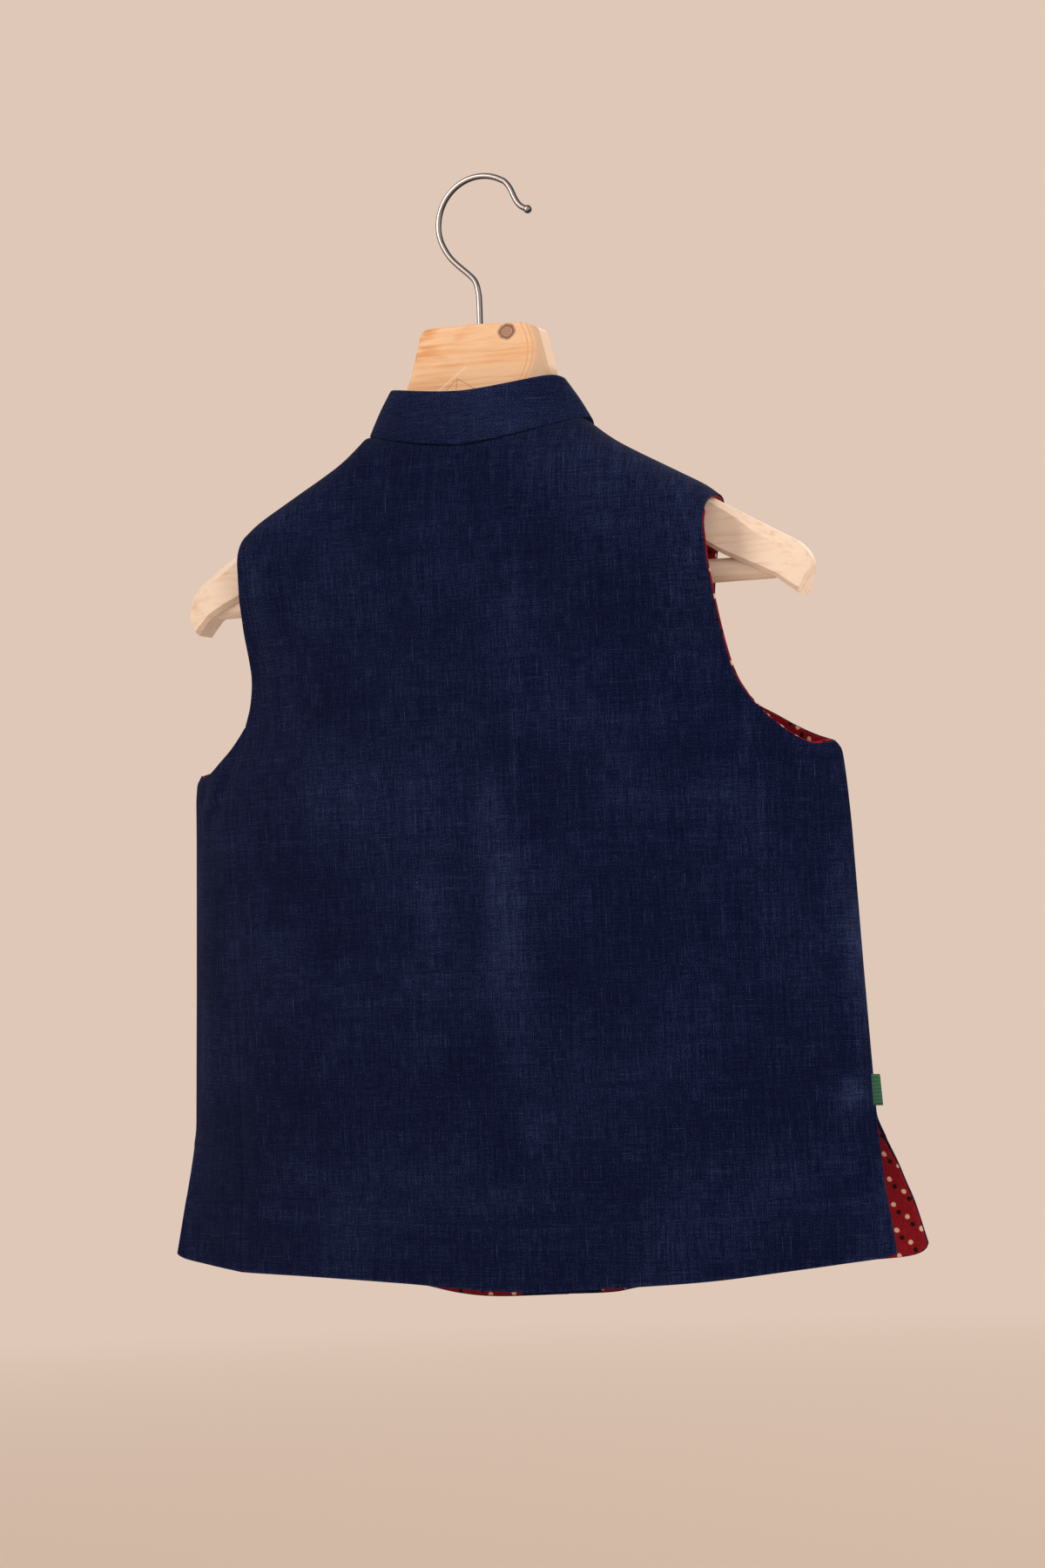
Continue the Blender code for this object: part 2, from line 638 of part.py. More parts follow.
def arm_section(across):
    """The arm's outline across its length, as depths and heights: its top edges are planed off at a slant."""
    share = (across - ARM_ROOT) / (ARM_TIP - ARM_ROOT)
    rounding = max(across - (ARM_TIP - ARM_END_ROUND), 0)
    drop = ARM_END_ROUND - sqrt(ARM_END_ROUND ** 2 - rounding ** 2)
    top = arm_top(across) - drop
    bottom = arm_top(across) - ARM_TALL + ARM_TAPER * share
    thick = ARM_THICK + (ARM_END_THICK - ARM_THICK) * smooth_step(share, 0.68, 0.86)
    back, front = arm_depth(across) - thick / 2, arm_depth(across) + thick / 2
    slant, low = ARM_CHAMFER * thick / ARM_END_THICK, ARM_LOW_CHAMFER
    return ((back, bottom + low), (back, top - slant), (back + slant, top), (front - slant, top),
            (front, top - slant), (front, bottom + low), (front - low, bottom), (back + low, bottom))


def arm_mesh(side, stations):
    """One arm of the hanger, as rings of its outline joined along its length, with a slanted end."""
    mesh = bmesh.new()
    rings = []
    for across in stations:
        near_end = max(across - (ARM_TIP - 2 * ARM_END_ROUND), 0) / (2 * ARM_END_ROUND)
        points = arm_section(across)
        lowest, highest = min(height for _, height in points), max(height for _, height in points)
        ring_points = []
        for depth, height in points:
            lean = ARM_END_SLANT * near_end * (highest - height) / (highest - lowest)
            ring_points.append(mesh.verts.new(metres(side * (across - lean), depth, height)))
        rings.append(ring_points)
    for first, second in zip(rings, rings[1:]):
        for i in range(len(first)):
            j = (i + 1) % len(first)
            mesh.faces.new((first[i], first[j], second[j], second[i]))
    mesh.faces.new(rings[0])
    mesh.faces.new(rings[-1])
    bmesh.ops.recalc_face_normals(mesh, faces=list(mesh.faces))
    return mesh


def hanger_arm(name, side, collection, cutters):
    """One wooden arm: a tapering bar that bows a little forward, drilled for the trouser bar."""
    straight = [ARM_ROOT + (ARM_TIP - ARM_END_ROUND - ARM_ROOT) * i / 8 for i in range(9)]
    tip = [ARM_TIP - ARM_END_ROUND * (1 - sin(radians(turn))) for turn in (30, 55, 90)]
    mesh = arm_mesh(side, straight + tip)
    data = bpy.data.meshes.new(name)
    mesh.to_mesh(data)
    mesh.free()
    piece = place(name, data, collection, "pine")
    hole_length = BAR_HALF + SEAM_GAP
    centre = (side * (hole_length - HOLE_DEEP / 2), arm_depth(BAR_HALF), BAR_HEIGHT)
    hole = cylinder(name + "_hole", BAR_RADIUS + SEAM_GAP, HOLE_DEEP, "X", centre, cutters)
    drill(piece, hole)
    return piece


def arm_depth(across):
    """Depth of the arm's middle: the hanger bows a little towards the front of the jacket."""
    share = (across - ARM_ROOT) / (ARM_TIP - ARM_ROOT)
    return ARM_ROOT_DEPTH + (ARM_TIP_DEPTH - ARM_ROOT_DEPTH) * share ** 4


def cylinder(name, radius, length, axis, centre, collection, finish="pine"):
    mesh = bmesh.new()
    bmesh.ops.create_cone(mesh, cap_ends=True, segments=16, radius1=radius * MM, radius2=radius * MM,
                          depth=length * MM)
    if axis == "X":
        bmesh.ops.rotate(mesh, matrix=Matrix.Rotation(pi / 2, 3, "Y"), verts=mesh.verts)
    data = bpy.data.meshes.new(name)
    mesh.to_mesh(data)
    mesh.free()
    piece = place(name, data, collection, finish)
    piece.location = metres(*centre)
    return piece


def drill(piece, cutter):
    cutter.hide_render = True
    cutter.display_type = "WIRE"
    cut = piece.modifiers.new("hole", "BOOLEAN")
    cut.operation = "DIFFERENCE"
    cut.object = cutter


def hanger_block(collection, cutters):
    """The middle of the hanger, between the arms, drilled from above for the hook."""
    outline = [(-45.5, -137), (-38, -100.5), (-34, -97), (0, BLOCK_TOP), (32, -99), (42.5, -103), (49, -130),
               (46.5, -146), (46.5, -190), (0, -182), (-46.5, -190), (-46.5, -146)]
    curve = bpy.data.curves.new("block outline", "CURVE")
    curve.dimensions = "2D"
    curve.fill_mode = "BOTH"
    curve.extrude = BLOCK_THICK / 2 * MM
    spline = curve.splines.new("POLY")
    spline.points.add(len(outline) - 1)
    for point, (across, height) in zip(spline.points, outline):
        point.co = (across * MM, metres(0, 0, height).z, 0, 1)
    spline.use_cyclic_u = True
    shape = bpy.data.objects.new("block outline", curve)
    collection.objects.link(shape)
    depsgraph = bpy.context.evaluated_depsgraph_get()
    data = bpy.data.meshes.new_from_object(shape.evaluated_get(depsgraph))
    bpy.data.objects.remove(shape)
    mesh = bmesh.new()
    mesh.from_mesh(data)
    bmesh.ops.remove_doubles(mesh, verts=mesh.verts, dist=0.00001)
    bmesh.ops.rotate(mesh, matrix=Matrix.Rotation(pi / 2, 3, "X"), verts=mesh.verts)
    bmesh.ops.recalc_face_normals(mesh, faces=list(mesh.faces))
    mesh.to_mesh(data)
    mesh.free()
    piece = place("hanger_block", data, collection, "pine")
    edges = piece.modifiers.new("round edges", "BEVEL")
    edges.width = 1.5 * MM
    edges.segments = 2
    edges.limit_method = "ANGLE"
    edges.angle_limit = radians(60)
    deep = BLOCK_TOP - HOOK_SHANK_END + SEAM_GAP
    hole = cylinder("shank_hole", SHANK_HOLE, 2 * deep, "Z", (0, 0, BLOCK_TOP), cutters, "chrome")
    drill(piece, hole)
    return piece


def hook(collection):
    """The wire hook: its mouth end, the loop, the slant down to the bend, and the shank in the block."""
    points = list(reversed(HOOK_MOUTH))
    steps = 16
    for i in range(steps + 1):
        turn = radians(HOOK_MOUTH_ANGLE + (HOOK_HEEL_ANGLE - HOOK_MOUTH_ANGLE) * i / steps)
        points.append((HOOK_CENTRE[0] + HOOK_RADIUS * cos(turn), HOOK_CENTRE[1] + HOOK_RADIUS * sin(turn)))
    points += list(HOOK_BEND) + [(0.0, HOOK_SHANK_END)]
    curve = bpy.data.curves.new("hook", "CURVE")
    curve.dimensions = "3D"
    curve.bevel_depth = WIRE / 2 * MM
    curve.bevel_resolution = 2
    curve.use_fill_caps = True
    spline = curve.splines.new("POLY")
    spline.points.add(len(points) - 1)
    for point, (across, height) in zip(spline.points, points):
        point.co = (*metres(across, 0, height), 1)
    return place("hook", curve, collection, "chrome")


def main():
    clear_scene()
    parts = new_collection("sleeveless_jacket")
    cutters = new_collection("cutters")
    back_panel("back", OUTER, parts)
    back_panel("lining_back", LINING_LAYER, parts)
    for side, hand in ((-1, "left"), (1, "right")):
        side_back_panel(f"side_back_{hand}", side, OUTER, parts)
        side_back_panel(f"lining_side_back_{hand}", side, LINING_LAYER, parts)
        front_panel(f"front_{hand}", side, None, None, OUTER, parts)
        front_panel(f"facing_{hand}", side, None, 4, FACING_LAYER, parts)
        front_panel(f"lining_front_{hand}", side, 3, None, LINING_LAYER, parts)
        hanger_arm(f"hanger_arm_{hand}", side, parts, cutters)
    collar(parts)
    buttons(parts)
    label(parts)
    hanger_block(parts, cutters)
    cylinder("trouser_bar", BAR_RADIUS, 2 * BAR_HALF, "X", (0, arm_depth(BAR_HALF), BAR_HEIGHT), parts)
    hook(parts)


main()
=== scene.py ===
# %% [markdown]
# # A sleeveless jacket on its hanger
# The real thing is a lined vest of dark indigo, handwoven cotton with a stand collar. It hangs from a wooden suit
# hanger, and we see its back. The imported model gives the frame: where each piece lies and how large it is. This
# script keeps to that frame and dresses it, one piece or one finish at a time.

# %% Load the frame
from collections import namedtuple
from math import cos, pi, radians, sin, sqrt

import bmesh
import bpy
import numpy as np
from mathutils import Matrix, Vector, noise


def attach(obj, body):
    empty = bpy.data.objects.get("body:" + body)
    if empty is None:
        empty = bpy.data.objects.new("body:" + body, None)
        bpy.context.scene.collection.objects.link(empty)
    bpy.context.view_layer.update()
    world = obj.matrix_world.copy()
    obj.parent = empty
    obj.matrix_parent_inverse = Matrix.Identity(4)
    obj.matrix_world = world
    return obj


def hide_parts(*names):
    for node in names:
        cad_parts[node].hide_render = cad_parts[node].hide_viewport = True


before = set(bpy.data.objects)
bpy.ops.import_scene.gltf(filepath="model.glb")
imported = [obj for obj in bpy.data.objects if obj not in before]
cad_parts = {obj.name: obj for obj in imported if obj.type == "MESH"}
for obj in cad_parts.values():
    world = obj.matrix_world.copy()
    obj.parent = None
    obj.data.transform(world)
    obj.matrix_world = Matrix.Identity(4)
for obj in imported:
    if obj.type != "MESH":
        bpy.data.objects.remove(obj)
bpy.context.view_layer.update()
print("nodes in the frame:", len(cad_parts))

# %% [markdown]
# Sizes are in millimetres, with heights measured down from the top of the wire hook, because that is how the pieces
# are measured on the table. One function turns such a place into metres from the hang point under the wire.

# %% Sizes that everything shares
MM = 0.001
WIRE = 3.8
CLOTH = 1.1
LINING_START = 1.25
LINING = 0.7
SEAM_TUCK = 0.3
GRID_STEP = 3.0


def metres(across, depth, height):
    return Vector((across, depth, height + WIRE)) * MM


# %% [markdown]
# The camera comes first, so that every later piece is judged from the same place. The photograph was taken from a
# little to the wearer's right, with a lens of about 85 mm, and the hanger hangs 2 degrees out of true.

# %% Camera
CAMERA_PLACE = Vector((921.5, -2140.4, -474.0)) * MM
CAMERA_TURN = 22.56
CAMERA_TIP = 2.23
CAMERA_LEAN = 2.0

camera_data = bpy.data.cameras.new("camera")
camera_data.lens = 85
camera_data.sensor_width = 36
camera_data.clip_end = 50
camera = bpy.data.objects.new("camera", camera_data)
bpy.context.scene.collection.objects.link(camera)
camera.matrix_world = (
    Matrix.Rotation(radians(CAMERA_LEAN), 4, "Y") @ Matrix.Translation(CAMERA_PLACE)
    @ Matrix.Rotation(radians(CAMERA_TURN), 4, "Z") @ Matrix.Rotation(radians(90 + CAMERA_TIP), 4, "X")
)
bpy.context.scene.camera = camera
print("camera:", round(CAMERA_PLACE.length, 2), "m from the hang point")

# %% [markdown]
# Each finish is a node tree. Colours are written as the hex values a picture editor shows, and one function turns
# them to the linear light that the shader works in. One more small function adds a node, sets its sockets and links
# the ones that come from other nodes.

# %% Colour and node helpers
def colour(code):
    """A linear RGBA colour from an sRGB hex code."""
    parts = [int(code[i:i + 2], 16) / 255 for i in (1, 3, 5)]
    return (*(p / 12.92 if p <= 0.04045 else ((p + 0.055) / 1.055) ** 2.4 for p in parts), 1.0)


def add(tree, kind, settings=None, **sockets):
    """Adds a node. settings are its properties; sockets are values, or outputs of other nodes to link."""
    made = tree.nodes.new("ShaderNode" + kind)
    for name, value in (settings or {}).items():
        setattr(made, name, value)
    for name, value in sockets.items():
        socket = made.inputs[int(name[1:])] if name[0] == "i" and name[1:].isdigit() else made.inputs[
            name.replace("_", " ")]
        if isinstance(value, bpy.types.NodeSocket):
            tree.links.new(value, socket)
        else:
            socket.default_value = value
    return made


def new_material(name, **constants):
    """A material with a Principled shader, and its node tree. constants are values of the shader's sockets."""
    made = bpy.data.materials.new(name)
    made.use_nodes = True
    shader = made.node_tree.nodes["Principled BSDF"]
    for socket, value in constants.items():
        shader.inputs[socket.replace("_", " ")].default_value = value
    return made, made.node_tree


def ramp(tree, factor, stops):
    """A colour ramp: stops are (position, hex colour)."""
    made = add(tree, "ValToRGB", Fac=factor)
    elements = made.color_ramp.elements
    while len(elements) < len(stops):
        elements.new(1.0)
    for element, (position, code) in zip(elements, stops):
        element.position = position
        element.color = colour(code)
    return made.outputs["Color"]

# %% Arithmetic with nodes
def remap(tree, value, low, high, to_low=0.0, to_high=1.0):
    return add(tree, "MapRange", i0=value, i1=low, i2=high, i3=to_low, i4=to_high).outputs[0]


def calc(tree, operation, first, second=0.0, third=0.0, clamp=False):
    return add(tree, "Math", {"operation": operation, "use_clamp": clamp}, i0=first, i1=second, i2=third).outputs[0]


def vector_calc(tree, operation, first, second, output="Value"):
    return add(tree, "VectorMath", {"operation": operation}, i0=first, i1=second).outputs[output]


def length_of(tree, vector):
    return add(tree, "VectorMath", {"operation": "LENGTH"}, i0=vector).outputs["Value"]


def scaled(tree, vector, scale):
    return add(tree, "VectorMath", {"operation": "SCALE"}, i0=vector, Scale=scale).outputs[0]


def mixed(tree, share, ground, over):
    """One colour laid over another. over is a hex code, or the output of a node."""
    over = colour(over) if isinstance(over, str) else over
    return add(tree, "Mix", {"data_type": "RGBA"}, i0=share, i6=ground, i7=over).outputs[2]


def surfaced(made, base, relief=None, strength=0.0, height=0.0):
    """Gives a material its colour, and a bump from relief that is that many millimetres high."""
    tree = made.node_tree
    shader = tree.nodes["Principled BSDF"]
    tree.links.new(base, shader.inputs["Base Color"])
    if relief is not None:
        bump = add(tree, "Bump", Strength=strength, Distance=height * MM, Height=relief)
        tree.links.new(bump.outputs[0], shader.inputs["Normal"])
    return made


# %% [markdown]
# The cloth keeps the form of the jacket's cross-sections. Each row of a table is one section: how wide the jacket is
# there, how deep its middle lies, and how deep the cloth lies where it folds round the side.

# %% Cross-sections of the jacket
Section = namedtuple("Section", "height half_width centre_depth side_depth side_roundness")
BACK_SECTIONS = [Section(*row) for row in (
    (-160, 176, -36, -30, 0.0), (-205, 176, -43, -34, 0.0), (-240, 176, -46, -35, 0.0),
    (-262, 178, -46, -31, 0.0), (-285, 182, -46, -20, 0.0), (-312, 190, -46, 0, 0.0), (-343, 203, -46, 16, 0.2),
    (-370, 217, -46, 22, 1.0), (-375, 221, -46, 22.5, 1.0), (-385, 222.8, -46, 23.2, 1.0),
    (-420, 225, -46, 26, 1.0), (-515, 229, -44, 28, 1.0), (-601, 233, -42, 30, 1.0), (-640, 237, -42, 24, 0.0),
    (-685, 242, -42, 21, 0.0), (-712, 246, -42, 17, 0.0),
)]
FRONT_SECTIONS = [Section(*row) for row in (
    (-163, 176, -6, -6, 0.0), (-171, 176, 11.5, 1, 0.0), (-187, 176, 26, 10, 0.0), (-206, 176, 35.5, 14, 0.0),
    (-228, 176, 43.5, 18, 0.0), (-262, 178, 48, 26, 0.0), (-290, 182, 50, 29, 0.0), (-315, 190, 52, 31, 0.0),
    (-343, 203, 53, 30, 0.2), (-370, 217, 54, 22, 1.0), (-375, 221, 54.2, 22.5, 1.0),
    (-385, 222.8, 54.6, 23.2, 1.0), (-420, 225, 56, 26, 1.0), (-515, 229, 58, 28, 1.0),
    (-601, 233, 60, 30, 1.0), (-630, 238.5, 61, 54, 0.0), (-656, 244.5, 62, 66, 0.0),
    (-684, 249.5, 64, 75, 0.0), (-720, 256, 66, 78, 0.0),
)]
LEVELS = np.arange(-740.0, -140.0)
SECTION_SMOOTHING = 9


def eased(sections):
    """Each column of a section table as a curve over every millimetre of height, with its corners rounded."""
    heights = [row.height for row in reversed(sections)]
    window = np.ones(SECTION_SMOOTHING) / SECTION_SMOOTHING
    curves = []
    for column in Section._fields[1:]:
        straight = np.interp(LEVELS, heights, [getattr(row, column) for row in reversed(sections)])
        padded = np.pad(straight, SECTION_SMOOTHING // 2, mode="edge")
        curves.append(np.convolve(padded, window, mode="valid"))
    return curves


BACK_FORM = eased(BACK_SECTIONS)
FRONT_FORM = eased(FRONT_SECTIONS)

# %% [markdown]
# A panel's outline is its seams and edges, seen from the back, for the wearer's right half. The left half is the same
# mirrored, and in every table -1 stands for the left and 1 for the right. A few points and a smooth curve through
# them are enough for each edge.

# %% Seams and edges
HANDS = ((-1, "left"), (1, "right"))
Edge = namedtuple("Edge", "across height")


def through(*places):
    """The points that a seam or edge passes through."""
    return [Edge(*place) for place in places]


SHOULDER_SEAM = through((73, -163.5), (86, -174.5), (100, -183.5), (130, -200), (148, -210), (158, -217.5))
BACK_ARMHOLE_UPPER = through((158, -217.5), (157.5, -240), (159.3, -280), (161.2, -310), (165.5, -329),
                             (171.5, -341.5))
BACK_ARMHOLE_LOWER = through((171.5, -341.5), (184, -355.5), (198, -367), (209, -372.5), (217, -370.5))
FRONT_ARMHOLE_UPPER = through((158, -217.5), (146, -237), (139.5, -262), (138, -284), (142, -313), (152, -332))
FRONT_ARMHOLE_LOWER = through((152, -332), (161, -343), (178, -352.7), (191, -360), (204, -366), (217, -370.5))
FRONT_SIDE_LINE = through((152, -332), (164, -385), (172, -460), (177, -560), (190, -692.5))
SIDE_SEAM = through((217, -370.5), (221, -375), (222.8, -385), (225, -420), (229, -515), (233, -601))
BACK_VENT = through((233, -601), (238, -640), (245.2, -682.6))
FRONT_VENT = through((233, -601), (235.5, -615), (238.5, -630), (244.5, -656), (249.2, -681))
PRINCESS_SEAM = through((171.5, -341.5), (175, -362), (183, -390), (183, -425), (180, -560), (183, -692))
SIDE_FRONT_HEM = through((190, -692.5), (214, -691), (236, -689), (246, -685.6), (249.2, -681))
SIDE_BACK_HEM = through((183, -692), (214, -688.5), (239.6, -685.4), (245.2, -682.6))

# The hem hangs a little differently on each side.
BACK_HEM = {
    -1: through((0, -700.7), (54, -696.6), (120, -693.5), (183, -692)),
    1: through((0, -700.7), (37, -701.5), (99, -698.8), (143, -696.3), (183, -692)),
}
FRONT_HEM = {
    -1: through((-11, -712.5), (34, -713.8), (64, -711.5), (102, -704.5), (190, -692.5)),
    1: through((-11, -712.5), (40, -711), (62, -707.5), (112, -700.5), (190, -692.5)),
}

print("seams and edges: the back hangs to", BACK_HEM[1][0].height, "mm")

# %% Neckline, collar and shares of the seams
# A ring round the neck: its half width, its depths at the side, back and front, its height at the side, and how far
# it drops from there at the back and at the front.
Ring = namedtuple("Ring", "half_width side back front height back_drop front_drop")
NECK = Ring(73, -6, -35, 43, -163.5, 13, 63.5)
COLLAR_TOP = Ring(56.5, -9, -31, 36, -135.5, 7.5, 59)
COLLAR_OPENING_ANGLE = 2.5
COLLAR_CLOTH = 2.4
COLLAR_SIDE_EASE = 2.0
COLLAR_EASE_ANGLE = 16

FRONT_START = 188.2
OVERLAP_LIFT = 3.2
OVERLAP_FULL = 14
OVERLAP_FADE = 48
FACING_SHARES = {-1: 0.147, 1: 0.225}

NECK_SHARE_BACK = 0.43
NECK_SHARE_FRONT = 0.5
SEAM_SHARE = 0.32
UNDERARM_SHARE = 0.385
VENT_SHARE = 0.81
VENT_SHARE_OF_SIDE = (VENT_SHARE - UNDERARM_SHARE) / (1 - UNDERARM_SHARE)
SHOULDER_ROUND = 22

print("armhole, as a share of the side:", SEAM_SHARE)

# %% Curves through the points
def curve_through(points, shares):
    """Points of a smooth curve through some points, at shares of its length."""
    given = np.array(points, float)
    length = np.concatenate(([0], np.cumsum(np.linalg.norm(np.diff(given, axis=0), axis=1))))
    target = np.clip(shares, 0, 1) * length[-1]
    index = np.clip(np.searchsorted(length, target, side="right") - 1, 0, len(given) - 2)
    u = ((target - length[index]) / (length[index + 1] - length[index]))[:, None]
    ends = np.vstack((2 * given[0] - given[1], given, 2 * given[-1] - given[-2]))
    a, b, c, d = (ends[index + step] for step in range(4))
    return 0.5 * (2 * b + (c - a) * u + (2 * a - 5 * b + 4 * c - d) * u ** 2 + (3 * b - a - 3 * c + d) * u ** 3)


def joined(first, second, share):
    """One edge made of two curves that meet at a share of its length."""
    def edge(shares):
        upper = curve_through(first, shares / share)
        lower = curve_through(second, (shares - share) / (1 - share))
        return np.where((shares <= share)[:, None], upper, lower)
    return edge


def edge_along(points):
    """An edge of a panel, as a function of shares of its length."""
    return lambda shares: curve_through(points, shares)


def ring_points(form, angles):
    """Points of a ring round the neck, at angles in degrees from the centre back."""
    turn = np.radians(angles)
    behind = np.cos(turn) >= 0
    depth = form.side + np.where(behind, form.back - form.side, form.side - form.front) * np.cos(turn)
    drop = np.where(behind, form.back_drop * (1 - np.abs(np.sin(turn)) ** 1.6), form.front_drop * np.cos(turn) ** 2)
    return np.stack((form.half_width * np.sin(turn), depth, form.height - drop), axis=-1)


def neck_inward(angles):
    turn = np.radians(angles)
    deep = np.where(np.cos(turn) > 0, NECK.side - NECK.back, NECK.front - NECK.side)
    way = np.stack((-np.sin(turn) / NECK.half_width, np.cos(turn) / deep, 0 * turn), axis=-1)
    return way / np.linalg.norm(way, axis=-1, keepdims=True)


# %% [markdown]
# Cloth that hangs is never quite flat. The large folds are troughs and ridges, listed one by one, each with a start,
# an end, a width and a depth, as uneven as the real ones. A slow noise adds the slight puckering of washed cotton.

# %% Creases
Crease = namedtuple("Crease", "across height end_across end_height width depth")
BACK_CREASES = [Crease(*row) for row in (
    (178, -363, 199, -398, 4, -2.2), (187, -365, 207, -396, 5, 1.6), (207, -377, 219, -393, 3.5, -1.7),
    (214, -378, 222, -392, 4, 1.0), (-178, -358, -198, -400, 4.5, -1.7), (-190, -362, -207, -398, 5.5, 1.2),
    (-208, -376, -217, -396, 4, -1.1), (-216, -420, -70, -424, 2.6, -0.9), (-70, -424, 20, -427, 2.6, -0.45),
    (20, -427, 176, -430, 2.8, -0.9), (184, -430, 226, -430, 3, -0.7), (-3, -378, 2, -430, 2.6, -1.0),
    (2, -430, 6, -500, 3.2, -0.9), (6, -500, 14, -575, 4, -0.7), (-24, -197, 32, -208, 5, -1.1),
    (66, -205, 112, -209, 5, -1.0), (-58, -186, -26, -192, 6, -0.7), (-10, -620, 36, -622, 6, -0.6),
    (-128, -260, -96, -400, 26, 1.0), (-70, -480, -96, -690, 30, -1.5), (52, -300, 66, -420, 28, -0.8),
    (104, -500, 120, -700, 26, 1.6), (-160, -560, -176, -695, 22, 1.5), (221, -455, 227, -560, 8, 1.3),
    (204, -450, 210, -585, 9, -1.4), (160, -440, 166, -600, 14, -0.7), (-208, -440, -214, -610, 10, 1.2),
    (150, -226, 138, -330, 12, -1.0), (-148, -226, -140, -335, 13, 1.1),
)]
FRONT_CREASES = [Crease(*row) for row in (
    (170, -356, 190, -404, 5, -1.7), (-166, -354, -190, -400, 5.5, -1.6), (204, -374, 213, -398, 4.5, 1.1),
    (-205, -373, -212, -402, 4.5, 1.2), (-214, -421, -40, -426, 2.8, -0.8), (-40, -426, 60, -424, 3, -0.4),
    (60, -424, 214, -429, 2.8, -0.9), (64, -236, 96, -330, 16, -1.5), (-66, -238, -92, -325, 15, -1.4),
    (90, -440, 106, -690, 30, 1.7), (-84, -440, -100, -695, 28, 1.6), (140, -470, 150, -690, 22, -1.5),
    (-142, -480, -156, -690, 24, -1.6), (44, -540, 52, -705, 20, -1.1), (-48, -560, -60, -705, 22, -1.1),
)]
FLAT_NEAR_SEAM = 9
FLAT_NEAR_TOP = 16


def crease_height(creases, across, height):
    """How far the creases push the cloth out, at each point."""
    total = np.zeros_like(across)
    for fold in creases:
        run = np.array((fold.end_across - fold.across, fold.end_height - fold.height))
        long = np.linalg.norm(run)
        x, y = across - fold.across, height - fold.height
        along = (x * run[0] + y * run[1]) / long ** 2
        bow = 0.035 * long * np.sin(pi * np.clip(along, 0, 1))
        off = (x * run[1] - y * run[0]) / long + bow
        beyond = np.clip(np.abs(along - 0.5) - 0.5, 0, None) * long / fold.width
        taper = np.exp(-(2 * along - 1) ** 4) * np.exp(-beyond ** 2)
        total += fold.depth * taper * np.exp(-(off / fold.width) ** 2)
    return total


def puckers(points, seed):
    """A slow unevenness and a fine one, from each point's place."""
    flat = points.reshape(-1, 3)
    slow = np.array([noise.noise(Vector((p[0] / 70, p[2] / 95, seed))) for p in flat])
    fine = np.array([noise.noise(Vector((p[0] / 16, p[2] / 21, seed + 7))) for p in flat])
    return (0.9 * slow + 0.16 * fine).reshape(points.shape[:-1])


# %% [markdown]
# Fading is part of this cloth: indigo rubs off where the jacket was folded and where it is handled. The faded places
# are soft patches with a size and a strength, kept as a value on each vertex that the cloth's colour reads.

# %% Faded places
Patch = namedtuple("Patch", "across height half_wide half_tall strength")
BACK_FADES = [Patch(*row) for row in (
    (16, -404, 11, 22, 0.3), (22, -440, 14, 30, 0.34), (22, -480, 17, 30, 0.36), (28, -536, 15, 40, 0.24),
    (36, -600, 9, 14, 0.24), (37, -270, 1.4, 26, 0.3), (34, -330, 1.6, 50, 0.34), (32, -382, 1.6, 24, 0.3),
    (10, -426, 60, 1.6, 0.1), (-96, -388, 34, 22, 0.12), (-62, -394, 48, 27, 0.14), (-24, -386, 20, 22, 0.1),
    (-28, -470, 12, 26, 0.16), (10, -645, 34, 8, 0.16), (-150, -420.5, 60, 1.4, 0.16),
    (120, -427, 60, 1.4, 0.1), (120, -402, 60, 5, 0.12), (90, -352, 90, 10, 0.08), (224, -585, 7, 11, 0.5),
    (217, -588, 9, 14, 0.2), (226, -500, 5, 36, 0.42), (228, -550, 5, 18, 0.25), (219, -455, 7, 30, 0.2),
    (-218, -500, 5, 60, 0.2), (172, -362, 3, 20, 0.24), (180, -408, 2.5, 30, 0.2), (146, -250, 14, 34, 0.22),
    (140, -300, 20, 30, 0.1), (112, -206, 56, 34, 0.16), (60, -186, 30, 12, 0.12), (-120, -212, 46, 12, 0.12),
    (-146, -262, 8, 50, 0.2), (-120, -290, 30, 60, 0.08), (-80, -600, 24, 70, 0.06), (130, -600, 24, 70, 0.06),
    (238, -650, 4, 30, 0.16), (-236, -660, 5, 24, 0.16),
)]
FRONT_FADES = [Patch(*row) for row in (
    (0, -420, 26, 170, 0.3), (110, -426, 90, 3, 0.25), (-110, -424, 90, 3, 0.25), (70, -470, 22, 70, 0.3),
    (-74, -392, 44, 22, 0.35), (130, -270, 12, 50, 0.25), (-130, -270, 12, 50, 0.25), (100, -196, 50, 16, 0.28),
    (-100, -196, 50, 16, 0.28),
)]
EDGE_WEAR = 1.6


def fading(patches, across, height):
    total = np.zeros_like(across)
    for p in patches:
        x, y = (across - p.across) / p.half_wide, (height - p.height) / p.half_tall
        total += p.strength * np.exp(-np.abs(x) ** 2.4 - np.abs(y) ** 2.4)
    return total


# %% [markdown]
# A sheet of cloth is a grid whose points are moved into place. Columns and rows lie closer together near seams, so
# that the seam can dip there. Every sheet gets a UV map in real metres, measured across and down the cloth, so that
# threads and printed dots keep their true size.

# %% Making a sheet from a grid of points
BACK_WIDE = 175
FRONT_WIDE = 160
SIDE_WIDE = 60
HEM_TALL = 37
HEM_LIFT = 0.35
VENT_WEAR = 0.15
Sheet = namedtuple("Sheet", "points inward wear")
CLOSE_STEPS = (0.8, 1.8, 3.2)
SIDE_CURVE = 2.2
SIDE_FULLNESS = 0.28
FOLD_START = 0.86
PANEL_SEAM = (1.6, 0.5)
TOP_SEAM = (1.4, 0.4)
OFF_SHOULDER = np.array((-0.5, 0, -0.86))


